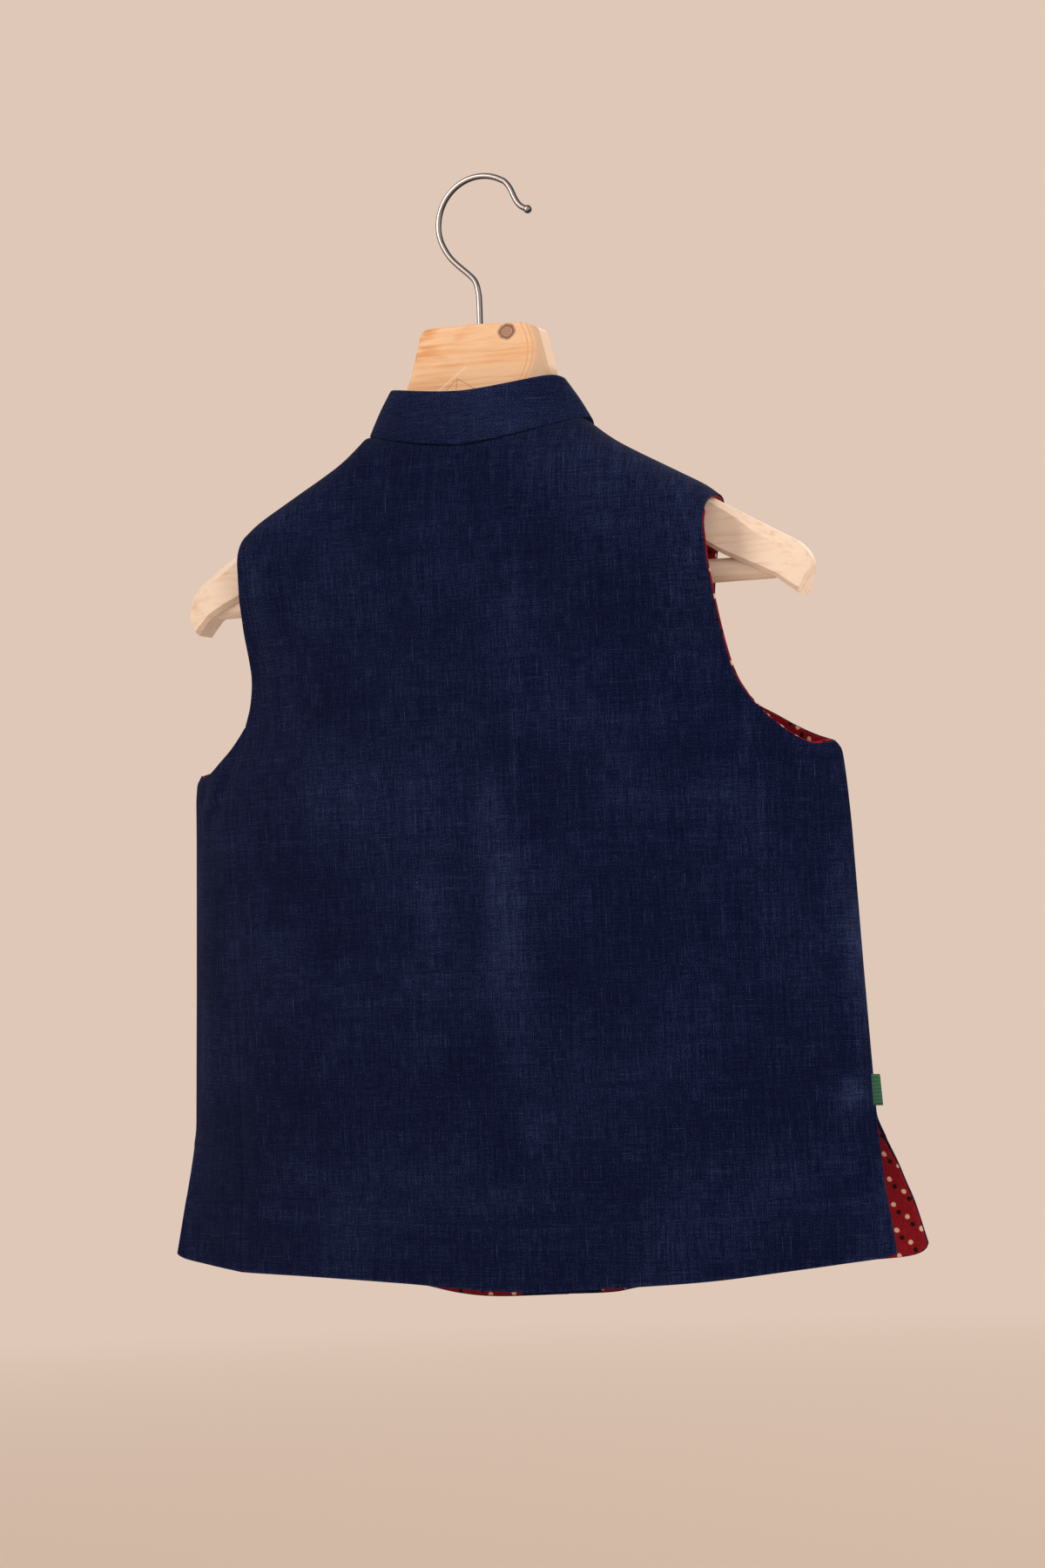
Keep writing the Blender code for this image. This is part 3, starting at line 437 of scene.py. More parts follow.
def spread(length, *stops):
    """Shares of a length: evenly spaced, closer at each end, and through each stop on the way."""
    marks = [0.0, *stops, 1.0]
    close = [c / length for c in CLOSE_STEPS]
    shares = [0.0, *close]
    for a, b in zip(marks, marks[1:]):
        start, end = max(a, close[-1]), min(b, 1 - close[-1])
        count = max(round((end - start) * length / GRID_STEP), 1)
        shares += [start + (end - start) * (i + 1) / count for i in range(count)]
    return np.array(sorted(set(shares + [1 - c for c in close] + [1.0])))


def patch(columns, rows, top, hem, inner, outer):
    """A grid of flat points inside four edges: inner and outer run downwards, top and hem run outwards."""
    s, t = columns[None, :, None], rows[:, None, None]
    upper, lower = top(columns)[None], hem(columns)[None]
    near, far = inner(rows)[:, None], outer(rows)[:, None]
    corners = ((1 - s) * (1 - t) * upper[:, :1] + s * (1 - t) * upper[:, -1:]
               + (1 - s) * t * lower[:, :1] + s * t * lower[:, -1:])
    return (1 - t) * upper + t * lower + (1 - s) * near + s * far - corners

print("columns of the back:", len(spread(BACK_WIDE, NECK_SHARE_BACK)))

# %% Lay flat cloth on the form
def overlap_lift(across, side):
    if side > 0:
        return 0 * across
    share = np.clip((across - OVERLAP_FULL) / (OVERLAP_FADE - OVERLAP_FULL), 0, 1)
    return OVERLAP_LIFT * (1 - share * share * (3 - 2 * share))


def cloth(form, flat, facing, side, top=None):
    """Puts flat points on the jacket's form. top is the depth, height and way in of what each column hangs from."""
    across, height = flat[..., 0], flat[..., 1]
    half_width, centre, side_depth, roundness = (np.interp(height, LEVELS, curve) for curve in form)
    reach = np.minimum(np.abs(across) / half_width, 1)
    bend = 1 - (1 - reach ** SIDE_CURVE) ** (1 - SIDE_FULLNESS * roundness)
    depth = centre + (side_depth - centre) * bend
    if facing > 0:
        depth = depth + overlap_lift(across, side)
    level = np.stack((-0.55 * reach ** 2, np.full_like(reach, -facing), 0 * reach), axis=-1)
    level /= np.linalg.norm(level, axis=-1, keepdims=True)
    near_fold = np.clip((reach - FOLD_START) / (1 - FOLD_START), 0, 1)
    on_seam = (height <= SIDE_SEAM[0].height + 1) & (height >= SIDE_SEAM[-1].height - 1)
    folded = np.where(on_seam, 1.0, roundness) * near_fold ** 2 * (3 - 2 * near_fold)
    inward = level + (np.array((-1.0, 0, 0)) - level) * folded[..., None]
    calm = np.ones_like(depth)
    if top:
        top_depth, top_height, top_inward = top
        share = np.clip((top_height - height) / SHOULDER_ROUND, 0, 1)
        rolled = np.sqrt(1 - (1 - share) ** 2)
        depth = top_depth + (depth - top_depth) * rolled
        inward = top_inward + (inward - top_inward) * rolled[..., None]
        calm = np.clip((top_height - height) / FLAT_NEAR_TOP, 0, 1)
    inward /= np.linalg.norm(inward, axis=-1, keepdims=True)
    points = np.stack((across * side, depth, height), axis=-1)
    inward = inward * np.array((side, 1, 1))
    joined_here = height > SIDE_SEAM[-1].height - 12
    seam_calm = np.clip((half_width - np.abs(across)) / FLAT_NEAR_SEAM, 0, 1)
    calm = calm * np.where(joined_here, seam_calm, 1)
    creases, fades = (BACK_CREASES, BACK_FADES) if facing < 0 else (FRONT_CREASES, FRONT_FADES)
    swell = crease_height(creases, points[..., 0], height) + puckers(points, facing * 3)
    points = points - inward * (swell * calm)[..., None]
    return Sheet(points, inward, fading(fades, points[..., 0], height))

# %% Seams, worn edges and the turned hem
def dip(sheet, edge_points, wide, deep):
    """Presses a sheet in along a seam and wears its ridge, measured from the seam's own points."""
    off = np.linalg.norm(sheet.points - edge_points, axis=-1)
    pressed = sheet.points + sheet.inward * (deep * np.exp(-(off / wide) ** 2))[..., None]
    ridge = 0.1 * np.exp(-((off - 2.5 * wide) / wide) ** 2)
    return Sheet(pressed, sheet.inward, sheet.wear + ridge)


def worn(sheet, edge_points, strength=0.25):
    """Fades a sheet along a finished edge."""
    off = np.linalg.norm(sheet.points - edge_points, axis=-1)
    return Sheet(sheet.points, sheet.inward, sheet.wear + strength * np.exp(-(off / EDGE_WEAR) ** 2))


def finished_hem(sheet):
    """The hem's turn-up: the cloth is a little thicker below a line, which is worn, and so is the hem's own edge."""
    off = np.linalg.norm(sheet.points - sheet.points[-1:], axis=-1)
    lift = HEM_LIFT / (1 + np.exp((off - HEM_TALL) / 1.2))
    line = 0.1 * np.exp(-((off - HEM_TALL) / 1.8) ** 2)
    turned = Sheet(sheet.points - sheet.inward * lift[..., None], sheet.inward, sheet.wear + line)
    return worn(turned, turned.points[-1:])

# %% From grids to a wall of cloth
def link_mesh(name, mesh, smooth=True):
    """Puts a finished bmesh in the scene as an object at the origin."""
    data = bpy.data.meshes.new(name)
    mesh.to_mesh(data)
    mesh.free()
    if smooth:
        data.shade_smooth()
    piece = bpy.data.objects.new(name, data)
    bpy.context.scene.collection.objects.link(piece)
    return piece


def rounded(piece, width, segments, angle=50, name="round edges", harden=True):
    """Rounds the edges that are sharper than an angle in degrees."""
    edges = piece.modifiers.new(name, "BEVEL")
    edges.width = width * MM
    edges.segments = segments
    edges.limit_method = "ANGLE"
    edges.angle_limit = radians(angle)
    edges.harden_normals = harden


def sheet_object(name, sheets, start, thick, flip):
    """A mesh wall from one or more grids of points, moved in by start and grown in by thick."""
    mesh = bmesh.new()
    uv = mesh.loops.layers.uv.new("cloth")
    wear = mesh.verts.layers.float.new("wear")
    flat_place = mesh.verts.layers.float_vector.new("flat place")
    for sheet in sheets:
        rows, columns = sheet.points.shape[:2]
        moved = sheet.points + sheet.inward * start
        steps = np.linalg.norm(np.diff(moved[..., :2], axis=1), axis=-1)
        lengths = np.concatenate((np.zeros((rows, 1)), np.cumsum(steps, axis=1)), axis=1)
        middle = np.argmin(np.abs(sheet.points[..., 0]), axis=1)
        offset = np.take_along_axis(lengths, middle[:, None], axis=1)
        along = (lengths - offset) * np.sign(sheet.points[:, -1:, 0] - sheet.points[:, :1, 0])
        along = along + np.take_along_axis(sheet.points[..., 0], middle[:, None], axis=1)
        grid = bmesh.ops.create_grid(mesh, x_segments=columns - 1, y_segments=rows - 1, size=0.5)
        for vertex in grid["verts"]:
            column = round((vertex.co.x + 0.5) * (columns - 1))
            row = round((0.5 - vertex.co.y) * (rows - 1))
            vertex[wear] = sheet.wear[row, column]
            vertex[flat_place] = (along[row, column] * MM, moved[row, column, 2] * MM, 0)
            vertex.co = metres(*moved[row, column])
    for face in mesh.faces:
        for loop in face.loops:
            loop[uv].uv = loop.vert[flat_place].xy
    bmesh.ops.remove_doubles(mesh, verts=list(mesh.verts), dist=0.02 * MM)
    if flip:
        bmesh.ops.reverse_faces(mesh, faces=list(mesh.faces))
    mesh.verts.layers.float_vector.remove(flat_place)
    piece = link_mesh(name, mesh)
    wall = piece.modifiers.new("wall", "SOLIDIFY")
    wall.thickness = thick * MM
    wall.offset = -1
    wall.use_even_offset = False
    rounded(piece, min(thick * 0.35, 0.5), 2, 60, "soft edge", False)
    return piece


# %% [markdown]
# The back is one wide panel between two curved seams, and a narrower panel on each side of it that wraps round to the
# side seam. We make the right half and mirror it, and join the halves of the wide panel at the centre line.

# %% Back panels
def panel_rows(length):
    """Rows down a panel of that length: close together where the cloth rolls over the shoulder, and at its seam."""
    rolled = [SHOULDER_ROUND * (1 - cos(radians(turn))) / length for turn in range(0, 90, 8)]
    return np.array(sorted({*rolled, *spread(length, SEAM_SHARE)[6:]}))


def back_grid():
    length = NECK.height - NECK.back_drop - BACK_HEM[1][0].height
    return spread(BACK_WIDE, NECK_SHARE_BACK), panel_rows(length)


def panel_top(neck_share, start):
    """The top edge of a panel: the neckline from an angle outwards, for a share of it, then the shoulder seam."""
    def edge(shares):
        on_neck = ring_points(NECK, start + (90 - start) * np.minimum(shares / neck_share, 1))[:, [0, 2]]
        on_seam = curve_through(SHOULDER_SEAM, (shares - neck_share) / (1 - neck_share))
        return np.where((shares <= neck_share)[:, None], on_neck, on_seam)
    return edge


def hangs_from(columns, neck_share, start, side=1):
    """The depth, height and way in of what each column of a panel hangs from."""
    angles = start + (90 - start) * np.minimum(columns / neck_share, 1)
    neck = ring_points(NECK, angles)
    on_neck = columns < neck_share
    depth = np.where(on_neck, neck[:, 1] + overlap_lift(neck[:, 0], side), NECK.side)
    inward = np.where(on_neck[:, None], neck_inward(angles), OFF_SHOULDER)
    return depth, panel_top(neck_share, start)(columns)[:, 1], inward


def back_centre(shares):
    start = NECK.height - NECK.back_drop
    return np.stack((0 * shares, start + (BACK_HEM[1][0].height - start) * shares), axis=-1)


def back_half(side):
    columns, rows = back_grid()
    outer = joined(BACK_ARMHOLE_UPPER, PRINCESS_SEAM, SEAM_SHARE)
    top = panel_top(NECK_SHARE_BACK, 0)
    flat = patch(columns, rows, top, edge_along(BACK_HEM[side]), back_centre, outer)
    flat[rows > SEAM_SHARE, -1, 0] += SEAM_TUCK
    sheet = cloth(BACK_FORM, flat, -1, side, hangs_from(columns, NECK_SHARE_BACK, 0))
    seam = sheet.points[:, -1:]
    below = (rows > SEAM_SHARE)[:, None]
    pressed = dip(sheet, seam, *PANEL_SEAM)
    sheet = Sheet(np.where(below[..., None], pressed.points, sheet.points), sheet.inward,
                  np.where(below, pressed.wear, worn(sheet, seam).wear))
    return finished_hem(dip(sheet, sheet.points[:1], *TOP_SEAM))


def side_back_rows():
    rows = back_grid()[1]
    rows = (rows[rows >= SEAM_SHARE] - SEAM_SHARE) / (1 - SEAM_SHARE)
    rows[0] = 0
    return rows


def vent_row(rows):
    """The first row below the top of the vent."""
    return int(np.searchsorted(rows, VENT_SHARE_OF_SIDE + 0.01))


def side_back(side):
    columns, rows = spread(SIDE_WIDE), side_back_rows()
    outer = joined(SIDE_SEAM, BACK_VENT, VENT_SHARE_OF_SIDE)
    flat = patch(columns, rows, edge_along(BACK_ARMHOLE_LOWER), edge_along(SIDE_BACK_HEM),
                 edge_along(PRINCESS_SEAM), outer)
    sheet = cloth(BACK_FORM, flat, -1, side)
    sheet = dip(sheet, sheet.points[:, :1], *PANEL_SEAM)
    sheet = worn(sheet, sheet.points[:1])
    sheet = worn(sheet, sheet.points[:, -1:], VENT_WEAR)
    return finished_hem(sheet)


def mirrored_together(left, right):
    """The left half, turned to run outwards-in, then the right half."""
    return Sheet(*(np.concatenate((a[:, :0:-1], b), axis=1) for a, b in zip(left, right)))


def trimmed(sheet, hem=0.0, top=0.0, vent=0.0, first_vent_row=None, armhole=0.0, last_armhole_row=None):
    """A sheet with its last row, first row, vent edge or armhole edge drawn back by that much, in millimetres."""
    points = sheet.points.copy()
    edges = [(hem, np.s_[-1], np.s_[-2]), (top, np.s_[0], np.s_[1])]
    if first_vent_row:
        edges.append((vent, np.s_[first_vent_row:, -1], np.s_[first_vent_row:, -2]))
    if last_armhole_row:
        rows = slice(ARMHOLE_FIRST_ROW, last_armhole_row)
        edges += [(armhole, np.s_[rows, -1], np.s_[rows, -2]), (armhole, np.s_[rows, 0], np.s_[rows, 1])]
    for size, edge, neighbour in edges:
        run = sheet.points[neighbour] - sheet.points[edge]
        points[edge] = points[edge] + run * (size / np.linalg.norm(run, axis=-1, keepdims=True))
    return Sheet(points, sheet.inward, sheet.wear)

# %% Make the back, its side panels and their linings
# The lining stops a little short of the cloth at the hem and in the vents. It rolls out past the cloth at the back's
# armholes and the right side panel's, as the real one does.
LINING_PEEK = 1.5
LINING_HEM = 0.8
LINING_NECK = 0.6
LINING_ARMHOLE = 0.4
BACK_VENT_TRIM = 0.75
FRONT_VENT_TRIM = 2.2
ARMHOLE_FIRST_ROW = 12

back_sheet = mirrored_together(back_half(-1), back_half(1))
back = sheet_object("back_cloth", [back_sheet], 0, CLOTH, False)
seam_row = int(np.searchsorted(back_grid()[1], SEAM_SHARE)) + 1
full_lining = trimmed(back_sheet, LINING_HEM, LINING_NECK, armhole=-LINING_PEEK, last_armhole_row=seam_row)
lining_back = sheet_object("back_lining", [full_lining], LINING_START, LINING, False)
side_sheets = {side: side_back(side) for side, _ in HANDS}
side_backs = {side: sheet_object(f"side_back_cloth_{hand}", [side_sheets[side]], 0, CLOTH, side < 0)
              for side, hand in HANDS}
side_linings = {}
for side, hand in HANDS:
    at_armhole = -LINING_PEEK if side > 0 else LINING_ARMHOLE
    inside = trimmed(side_sheets[side], LINING_HEM, at_armhole, BACK_VENT_TRIM, vent_row(side_back_rows()))
    side_linings[side] = sheet_object(f"side_back_lining_{hand}", [inside], LINING_START, LINING, side < 0)
print("back grid:", back_sheet.points.shape[:2])

# %% [markdown]
# Each front is one panel from its edge to the side seam. Its grid is made in two blocks that share a line, because
# the armhole cuts into it. A blue facing lines the front edge, and the printed lining covers the rest.

# %% Front panels
front_top = panel_top(NECK_SHARE_FRONT, FRONT_START)


def front_edge(shares):
    start = front_top(np.array((0.0,)))[0]
    end = np.array(FRONT_HEM[1][0])
    return start + (end - start) * shares[:, None]


def front_sheets(side):
    length = front_edge(np.array((0.0,)))[0, 1] - FRONT_HEM[1][0].height
    columns, rows = spread(FRONT_WIDE, FACING_SHARES[side], NECK_SHARE_FRONT), panel_rows(length)
    outer = joined(FRONT_ARMHOLE_UPPER, FRONT_SIDE_LINE, SEAM_SHARE)
    flat = patch(columns, rows, front_top, edge_along(FRONT_HEM[side]), front_edge, outer)
    inner = cloth(FRONT_FORM, flat, 1, side, hangs_from(columns, NECK_SHARE_FRONT, FRONT_START, side))
    side_rows = (rows[rows >= SEAM_SHARE - 1e-9] - SEAM_SHARE) / (1 - SEAM_SHARE)
    side_flat = patch(spread(SIDE_WIDE), side_rows, edge_along(FRONT_ARMHOLE_LOWER),
                      edge_along(SIDE_FRONT_HEM), edge_along(FRONT_SIDE_LINE),
                      joined(SIDE_SEAM, FRONT_VENT, VENT_SHARE_OF_SIDE))
    outer_sheet = cloth(FRONT_FORM, side_flat, 1, side)
    above = (rows <= SEAM_SHARE)[:, None]
    inner = Sheet(inner.points, inner.inward,
                  inner.wear + np.where(above, worn(inner, inner.points[:, -1:]).wear - inner.wear, 0))
    inner = worn(dip(inner, inner.points[:1], *TOP_SEAM), inner.points[:, :1])
    outer_sheet = worn(outer_sheet, outer_sheet.points[:1])
    outer_sheet = worn(outer_sheet, outer_sheet.points[:, -1:], VENT_WEAR)
    return columns, side_rows, finished_hem(inner), finished_hem(outer_sheet)


def columns_of(sheet, first, last):
    return Sheet(*(part[:, first:last] for part in sheet))

# %% Make the fronts, facings and linings
fronts, facings, front_linings = {}, {}, {}
for side, hand in HANDS:
    columns, side_rows, inner, outer_sheet = front_sheets(side)
    fronts[side] = sheet_object(f"front_cloth_{hand}", [inner, outer_sheet], 0, CLOTH, side > 0)
    split = int(np.searchsorted(columns, FACING_SHARES[side] - 1e-9))
    facing_sheet = trimmed(columns_of(inner, 0, split + 1), LINING_HEM, LINING_NECK)
    facings[side] = sheet_object(f"front_facing_{hand}", [facing_sheet], LINING_START, LINING, side > 0)
    lining_sheets = [trimmed(columns_of(inner, split, None), LINING_HEM, LINING_NECK),
                     trimmed(outer_sheet, LINING_HEM, LINING_ARMHOLE, FRONT_VENT_TRIM, vent_row(side_rows))]
    front_linings[side] = sheet_object(f"front_lining_{hand}", lining_sheets, LINING_START, LINING, side > 0)
print("front grid:", inner.points.shape[:2], "and", outer_sheet.points.shape[:2])

# %% [markdown]
# The stand collar is a band that leans in from the neckline. It is two layers of the same cloth with a stiffer one
# between them, so it keeps a smooth curve, and its top edge is rounded.

# %% Collar
COLLAR_COLUMNS = 150
COLLAR_ROWS = 14
COLLAR_FRONT_TUCK = 2.2
COLLAR_BELLY = 0.7
COLLAR_WEAR = 0.26
COLLAR_TALL = 30


def collar_sheet():
    end = 180 - COLLAR_OPENING_ANGLE
    angles = np.linspace(-end, end, COLLAR_COLUMNS)
    side = np.sign(angles)
    size = np.abs(angles)
    foot = ring_points(NECK, size) - np.array((0, 0, SEAM_TUCK))
    foot[:, 2] -= COLLAR_FRONT_TUCK * np.clip((size - 90) / 30, 0, 1)
    top = ring_points(COLLAR_TOP, size)
    top[:, 2] -= COLLAR_SIDE_EASE * np.exp(-((size - 90) / COLLAR_EASE_ANGLE) ** 2)
    share = np.linspace(0, 1, COLLAR_ROWS)[:, None, None]
    lift = np.where((size > 90) & (side < 0), overlap_lift(foot[:, 0], -1), 0)
    points = top + (foot - top) * share
    points[..., 1] += lift
    inward = np.broadcast_to(neck_inward(size), points.shape).copy()
    points[..., 0] *= side
    inward[..., 0] *= side
    uneven = puckers(points * np.array((1.6, 1, 1.6)), 11) * 0.35
    belly = COLLAR_BELLY * np.sin(pi * share[..., 0])
    points = points - inward * (uneven + belly)[..., None]
    wear = COLLAR_WEAR + 0.2 * np.exp(-(share[..., 0] * COLLAR_TALL / 1.8) ** 2) + 0 * uneven
    return Sheet(points, inward, wear)


collar = sheet_object("stand_collar", [collar_sheet()], 0, COLLAR_CLOTH, True)
print("collar grid:", (COLLAR_ROWS, COLLAR_COLUMNS))

# %% [markdown]
# The hanger is pine. Its arms taper in height and thicken towards their rounded ends, as a suit hanger's do. Each arm
# is an eight-sided outline, drawn at stations along its length and joined from one to the next.

# %% Hanger arms and bar
ARM_TIP = 213
ARM_ROOT = 47.2
ARM_ROOT_DEPTH = -6.5
ARM_TIP_DEPTH = 8
ARM_TALL = 42
ARM_TAPER = 15
ARM_CHAMFER = 8
ARM_LOW_CHAMFER = 3
ARM_END_ROUND = 10
ARM_END_SLANT = 8
ARM_BELOW_SEAM = 4.4
ARM_NECK_SLOPE = 0.35
ARM_TIP_SLOPE = 0.58
ARM_THICK = 12
ARM_END_THICK = 24
BAR_RADIUS = 7.4
BAR_HEIGHT = -263.6
BAR_HALF = 190


def smooth_step(value, low, high):
    share = min(max((value - low) / (high - low), 0.0), 1.0)
    return share * share * (3 - 2 * share)


def arm_top(across):
    first, last = SHOULDER_SEAM[0], SHOULDER_SEAM[-1]
    if across <= first.across:
        return first.height - ARM_BELOW_SEAM + ARM_NECK_SLOPE * (first.across - across)
    if across >= last.across:
        return last.height - ARM_BELOW_SEAM - ARM_TIP_SLOPE * (across - last.across)
    acrosses = [edge.across for edge in SHOULDER_SEAM]
    return float(np.interp(across, acrosses, [edge.height for edge in SHOULDER_SEAM])) - ARM_BELOW_SEAM


def arm_depth(across):
    share = (across - ARM_ROOT) / (ARM_TIP - ARM_ROOT)
    return ARM_ROOT_DEPTH + (ARM_TIP_DEPTH - ARM_ROOT_DEPTH) * share ** 4


def arm_section(across):
    """The arm's outline across its length, as depths and heights: its top edges are planed off at a slant."""
    share = (across - ARM_ROOT) / (ARM_TIP - ARM_ROOT)
    rounding = max(across - (ARM_TIP - ARM_END_ROUND), 0)
    drop = ARM_END_ROUND - sqrt(ARM_END_ROUND ** 2 - rounding ** 2)
    top = arm_top(across) - drop
    bottom = arm_top(across) - ARM_TALL + ARM_TAPER * share
    thick = ARM_THICK + (ARM_END_THICK - ARM_THICK) * smooth_step(share, 0.68, 0.86)
    back, front = arm_depth(across) - thick / 2, arm_depth(across) + thick / 2
    slant, low = ARM_CHAMFER * thick / ARM_END_THICK, ARM_LOW_CHAMFER
    return ((back, bottom + low), (back, top - slant), (back + slant, top), (front - slant, top),
            (front, top - slant), (front, bottom + low), (front - low, bottom), (back + low, bottom))

# %% Join the arm's outlines, and make the bar
def join_rings(mesh, rings):
    """Faces from each ring of points to the next, and one over each end."""
    for first, second in zip(rings, rings[1:]):
        for i in range(len(first)):
            j = (i + 1) % len(first)
            mesh.faces.new((first[i], first[j], second[j], second[i]))
    mesh.faces.new(rings[0])
    mesh.faces.new(rings[-1])
    bmesh.ops.recalc_face_normals(mesh, faces=list(mesh.faces))


def arm_mesh(side, stations):
    """One arm of the hanger, as rings of its outline joined along its length, with a slanted end."""
    mesh = bmesh.new()
    rings = []
    for across in map(float, stations):
        near_end = max(across - (ARM_TIP - 2 * ARM_END_ROUND), 0) / (2 * ARM_END_ROUND)
        points = arm_section(across)
        lowest, highest = min(height for _, height in points), max(height for _, height in points)
        outline = []
        for depth, height in points:
            lean = ARM_END_SLANT * near_end * (highest - height) / (highest - lowest)
            outline.append(mesh.verts.new(metres(side * (across - lean), depth, height)))
        rings.append(outline)
    join_rings(mesh, rings)
    return mesh


def hanger_arm(hand, side):
    straight = np.linspace(ARM_ROOT, ARM_TIP - ARM_END_ROUND, 34)
    tip = ARM_TIP - ARM_END_ROUND * (1 - np.sin(np.radians(np.arange(10, 91, 10))))
    piece = link_mesh(f"pine_arm_{hand}", arm_mesh(side, (*straight, *tip)))
    rounded(piece, 1.6, 3, 28)
    return piece


def round_bar(mesh, radius, length, segments):
    """Adds an upright round bar to a mesh, and gives back its points."""
    bar = bmesh.ops.create_cone(mesh, cap_ends=True, segments=segments, radius1=radius * MM, radius2=radius * MM,
                                depth=length * MM)
    return bar["verts"]


def trouser_bar():
    mesh = bmesh.new()
    round_bar(mesh, BAR_RADIUS, 2 * BAR_HALF, 40)
    bmesh.ops.rotate(mesh, matrix=Matrix.Rotation(pi / 2, 3, "Y"), verts=mesh.verts)
    bmesh.ops.translate(mesh, vec=metres(0, arm_depth(BAR_HALF), BAR_HEIGHT), verts=mesh.verts)
    piece = link_mesh("pine_bar", mesh)
    rounded(piece, 1, 2)
    return piece


arms = {side: hanger_arm(hand, side) for side, hand in HANDS}
bar = trouser_bar()
print("arms:", len(arms), "and a bar", 2 * BAR_HALF, "mm long")

# %% [markdown]
# The block between the arms is sawn from a board, so it is a flat outline with thickness, and its edges are only
# just eased.

# %% Hanger block
BLOCK_TOP = -97
BLOCK_THICK = 19
BLOCK_OUTLINE = ((-50, -137), (-45, -126), (-38, -100.5), (-34, -97), (0, BLOCK_TOP), (32, -99), (42.5, -103),
                 (49, -130), (46.5, -146), (46.5, -190), (0, -182), (-46.5, -190), (-46.5, -146))


def hanger_block():
    mesh = bmesh.new()
    corners = [mesh.verts.new(metres(across, -BLOCK_THICK / 2, height)) for across, height in BLOCK_OUTLINE]
    face = mesh.faces.new(corners)
    grown = bmesh.ops.extrude_face_region(mesh, geom=[face], use_keep_orig=True)
    moved = [piece for piece in grown["geom"] if isinstance(piece, bmesh.types.BMVert)]
    bmesh.ops.translate(mesh, vec=Vector((0, BLOCK_THICK, 0)) * MM, verts=moved)
    bmesh.ops.recalc_face_normals(mesh, faces=list(mesh.faces))
    piece = link_mesh("pine_block", mesh)
    rounded(piece, 2.6, 4, 20)
    return piece


block = hanger_block()

# %% [markdown]
# The hook is one bent wire: a loop, a slant down to a small bend, and a straight shank into the block. Its free end
# carries a small ball. We lay a smooth line through its bends and sweep a small round ring of points along it.

# %% Wire hook
HOOK_RADIUS = 29.5
HOOK_CENTRE = (3.0, -31.4)
HOOK_MOUTH_ANGLE = 54
HOOK_HEEL_ANGLE = 202
HOOK_ARC_STEPS = 24
HOOK_BEND = ((-21.4, -48.2), (-17.8, -53.2), (-13.2, -57.8), (-7.6, -62.8), (-3.6, -66.8), (-1.6, -70.4),
             (-0.5, -75.2), (0.0, -83.0))
HOOK_MOUTH = ((23.4, -11.6), (25.6, -16.4), (27.8, -20.8), (30.8, -24.2), (35.0, -26.4))
HOOK_SHANK_END = -119
WIRE_STEP = 0.8
WIRE_SIDES = 20
BALL_RADIUS = 2.7


def wire_hook():
    """A round ring, swept along the wire's line and square to it, with a ball on the open end."""
    points = list(reversed(HOOK_MOUTH))
    for i in range(HOOK_ARC_STEPS + 1):
        turn = radians(HOOK_MOUTH_ANGLE + (HOOK_HEEL_ANGLE - HOOK_MOUTH_ANGLE) * i / HOOK_ARC_STEPS)
        points.append((HOOK_CENTRE[0] + HOOK_RADIUS * cos(turn), HOOK_CENTRE[1] + HOOK_RADIUS * sin(turn)))
    points += [*HOOK_BEND, (0.0, HOOK_SHANK_END)]
    length = np.sum(np.linalg.norm(np.diff(np.array(points), axis=0), axis=1))
    line = curve_through(points, np.linspace(0, 1, round(length / WIRE_STEP)))
    along = np.gradient(line, axis=0)
    along /= np.linalg.norm(along, axis=1)[:, None]
    mesh = bmesh.new()
    rings = []
    for (across, height), (along_across, along_height) in zip(line, along):
        around = []
        for i in range(WIRE_SIDES):
            out, back = WIRE / 2 * cos(2 * pi * i / WIRE_SIDES), WIRE / 2 * sin(2 * pi * i / WIRE_SIDES)
            around.append(mesh.verts.new(metres(across - out * along_height, back, height + out * along_across)))
        rings.append(around)
    join_rings(mesh, rings)
    ball = bmesh.ops.create_uvsphere(mesh, u_segments=24, v_segments=16, radius=BALL_RADIUS * MM)
    bmesh.ops.translate(mesh, vec=metres(HOOK_MOUTH[-1][0], 0, HOOK_MOUTH[-1][1]), verts=ball["verts"])
    return link_mesh("wire_hook", mesh)


hook = wire_hook()
print("hook:", len(hook.data.vertices), "points")

# %% [markdown]
# Small pieces come last: buttons with four holes and the thread through them, and the green tape that is folded into
# the side seam.

# %% Buttons and label
BUTTON_COUNT = 5
BUTTON_TOP = -246
BUTTON_SPACING = 78
BUTTON_RADIUS = 9
BUTTON_THICK = 3.2
BUTTON_STANDS = 0.6
BUTTON_HOLE = 0.9
THREAD_RADIUS = 0.4
THREAD_LIES = 0.95
THREAD_CROSSES = 0.5
STEM_LONG = 2.4
STEM_MIDDLE = -0.2
BUTTON_HOLE_SPACE = 2.0
BUTTON_HOLES = [(across * BUTTON_HOLE_SPACE, up * BUTTON_HOLE_SPACE) for across in (-1, 1) for up in (-1, 1)]
BUTTON_PROFILE = ((0, -1.6), (8.2, -1.6), (9, -0.9), (9, 0.7), (8.4, 1.5), (7.4, 1.6), (6.4, 0.9), (0, 0.7))
LABEL_TOP = -575
LABEL_TALL = 19
LABEL_WIDE = 6.5
LABEL_THICK = 1.4
LABEL_IN = 2.2
LABEL_BACK = 1.6
LABEL_LEAN = 0.07


def front_depth(height):
    return float(np.interp(height, LEVELS, FRONT_FORM[1])) + OVERLAP_LIFT


def button_place(number):
    """Where a button sits and how it turns to lie on the front."""
    height = BUTTON_TOP - BUTTON_SPACING * number
    slope = (front_depth(height - BUTTON_RADIUS) - front_depth(height)) / BUTTON_RADIUS
    place = metres(0, front_depth(height) + BUTTON_STANDS + BUTTON_THICK / 2, height)
    return Matrix.Translation(place) @ Matrix.Rotation(-pi / 2 + slope, 4, "X")


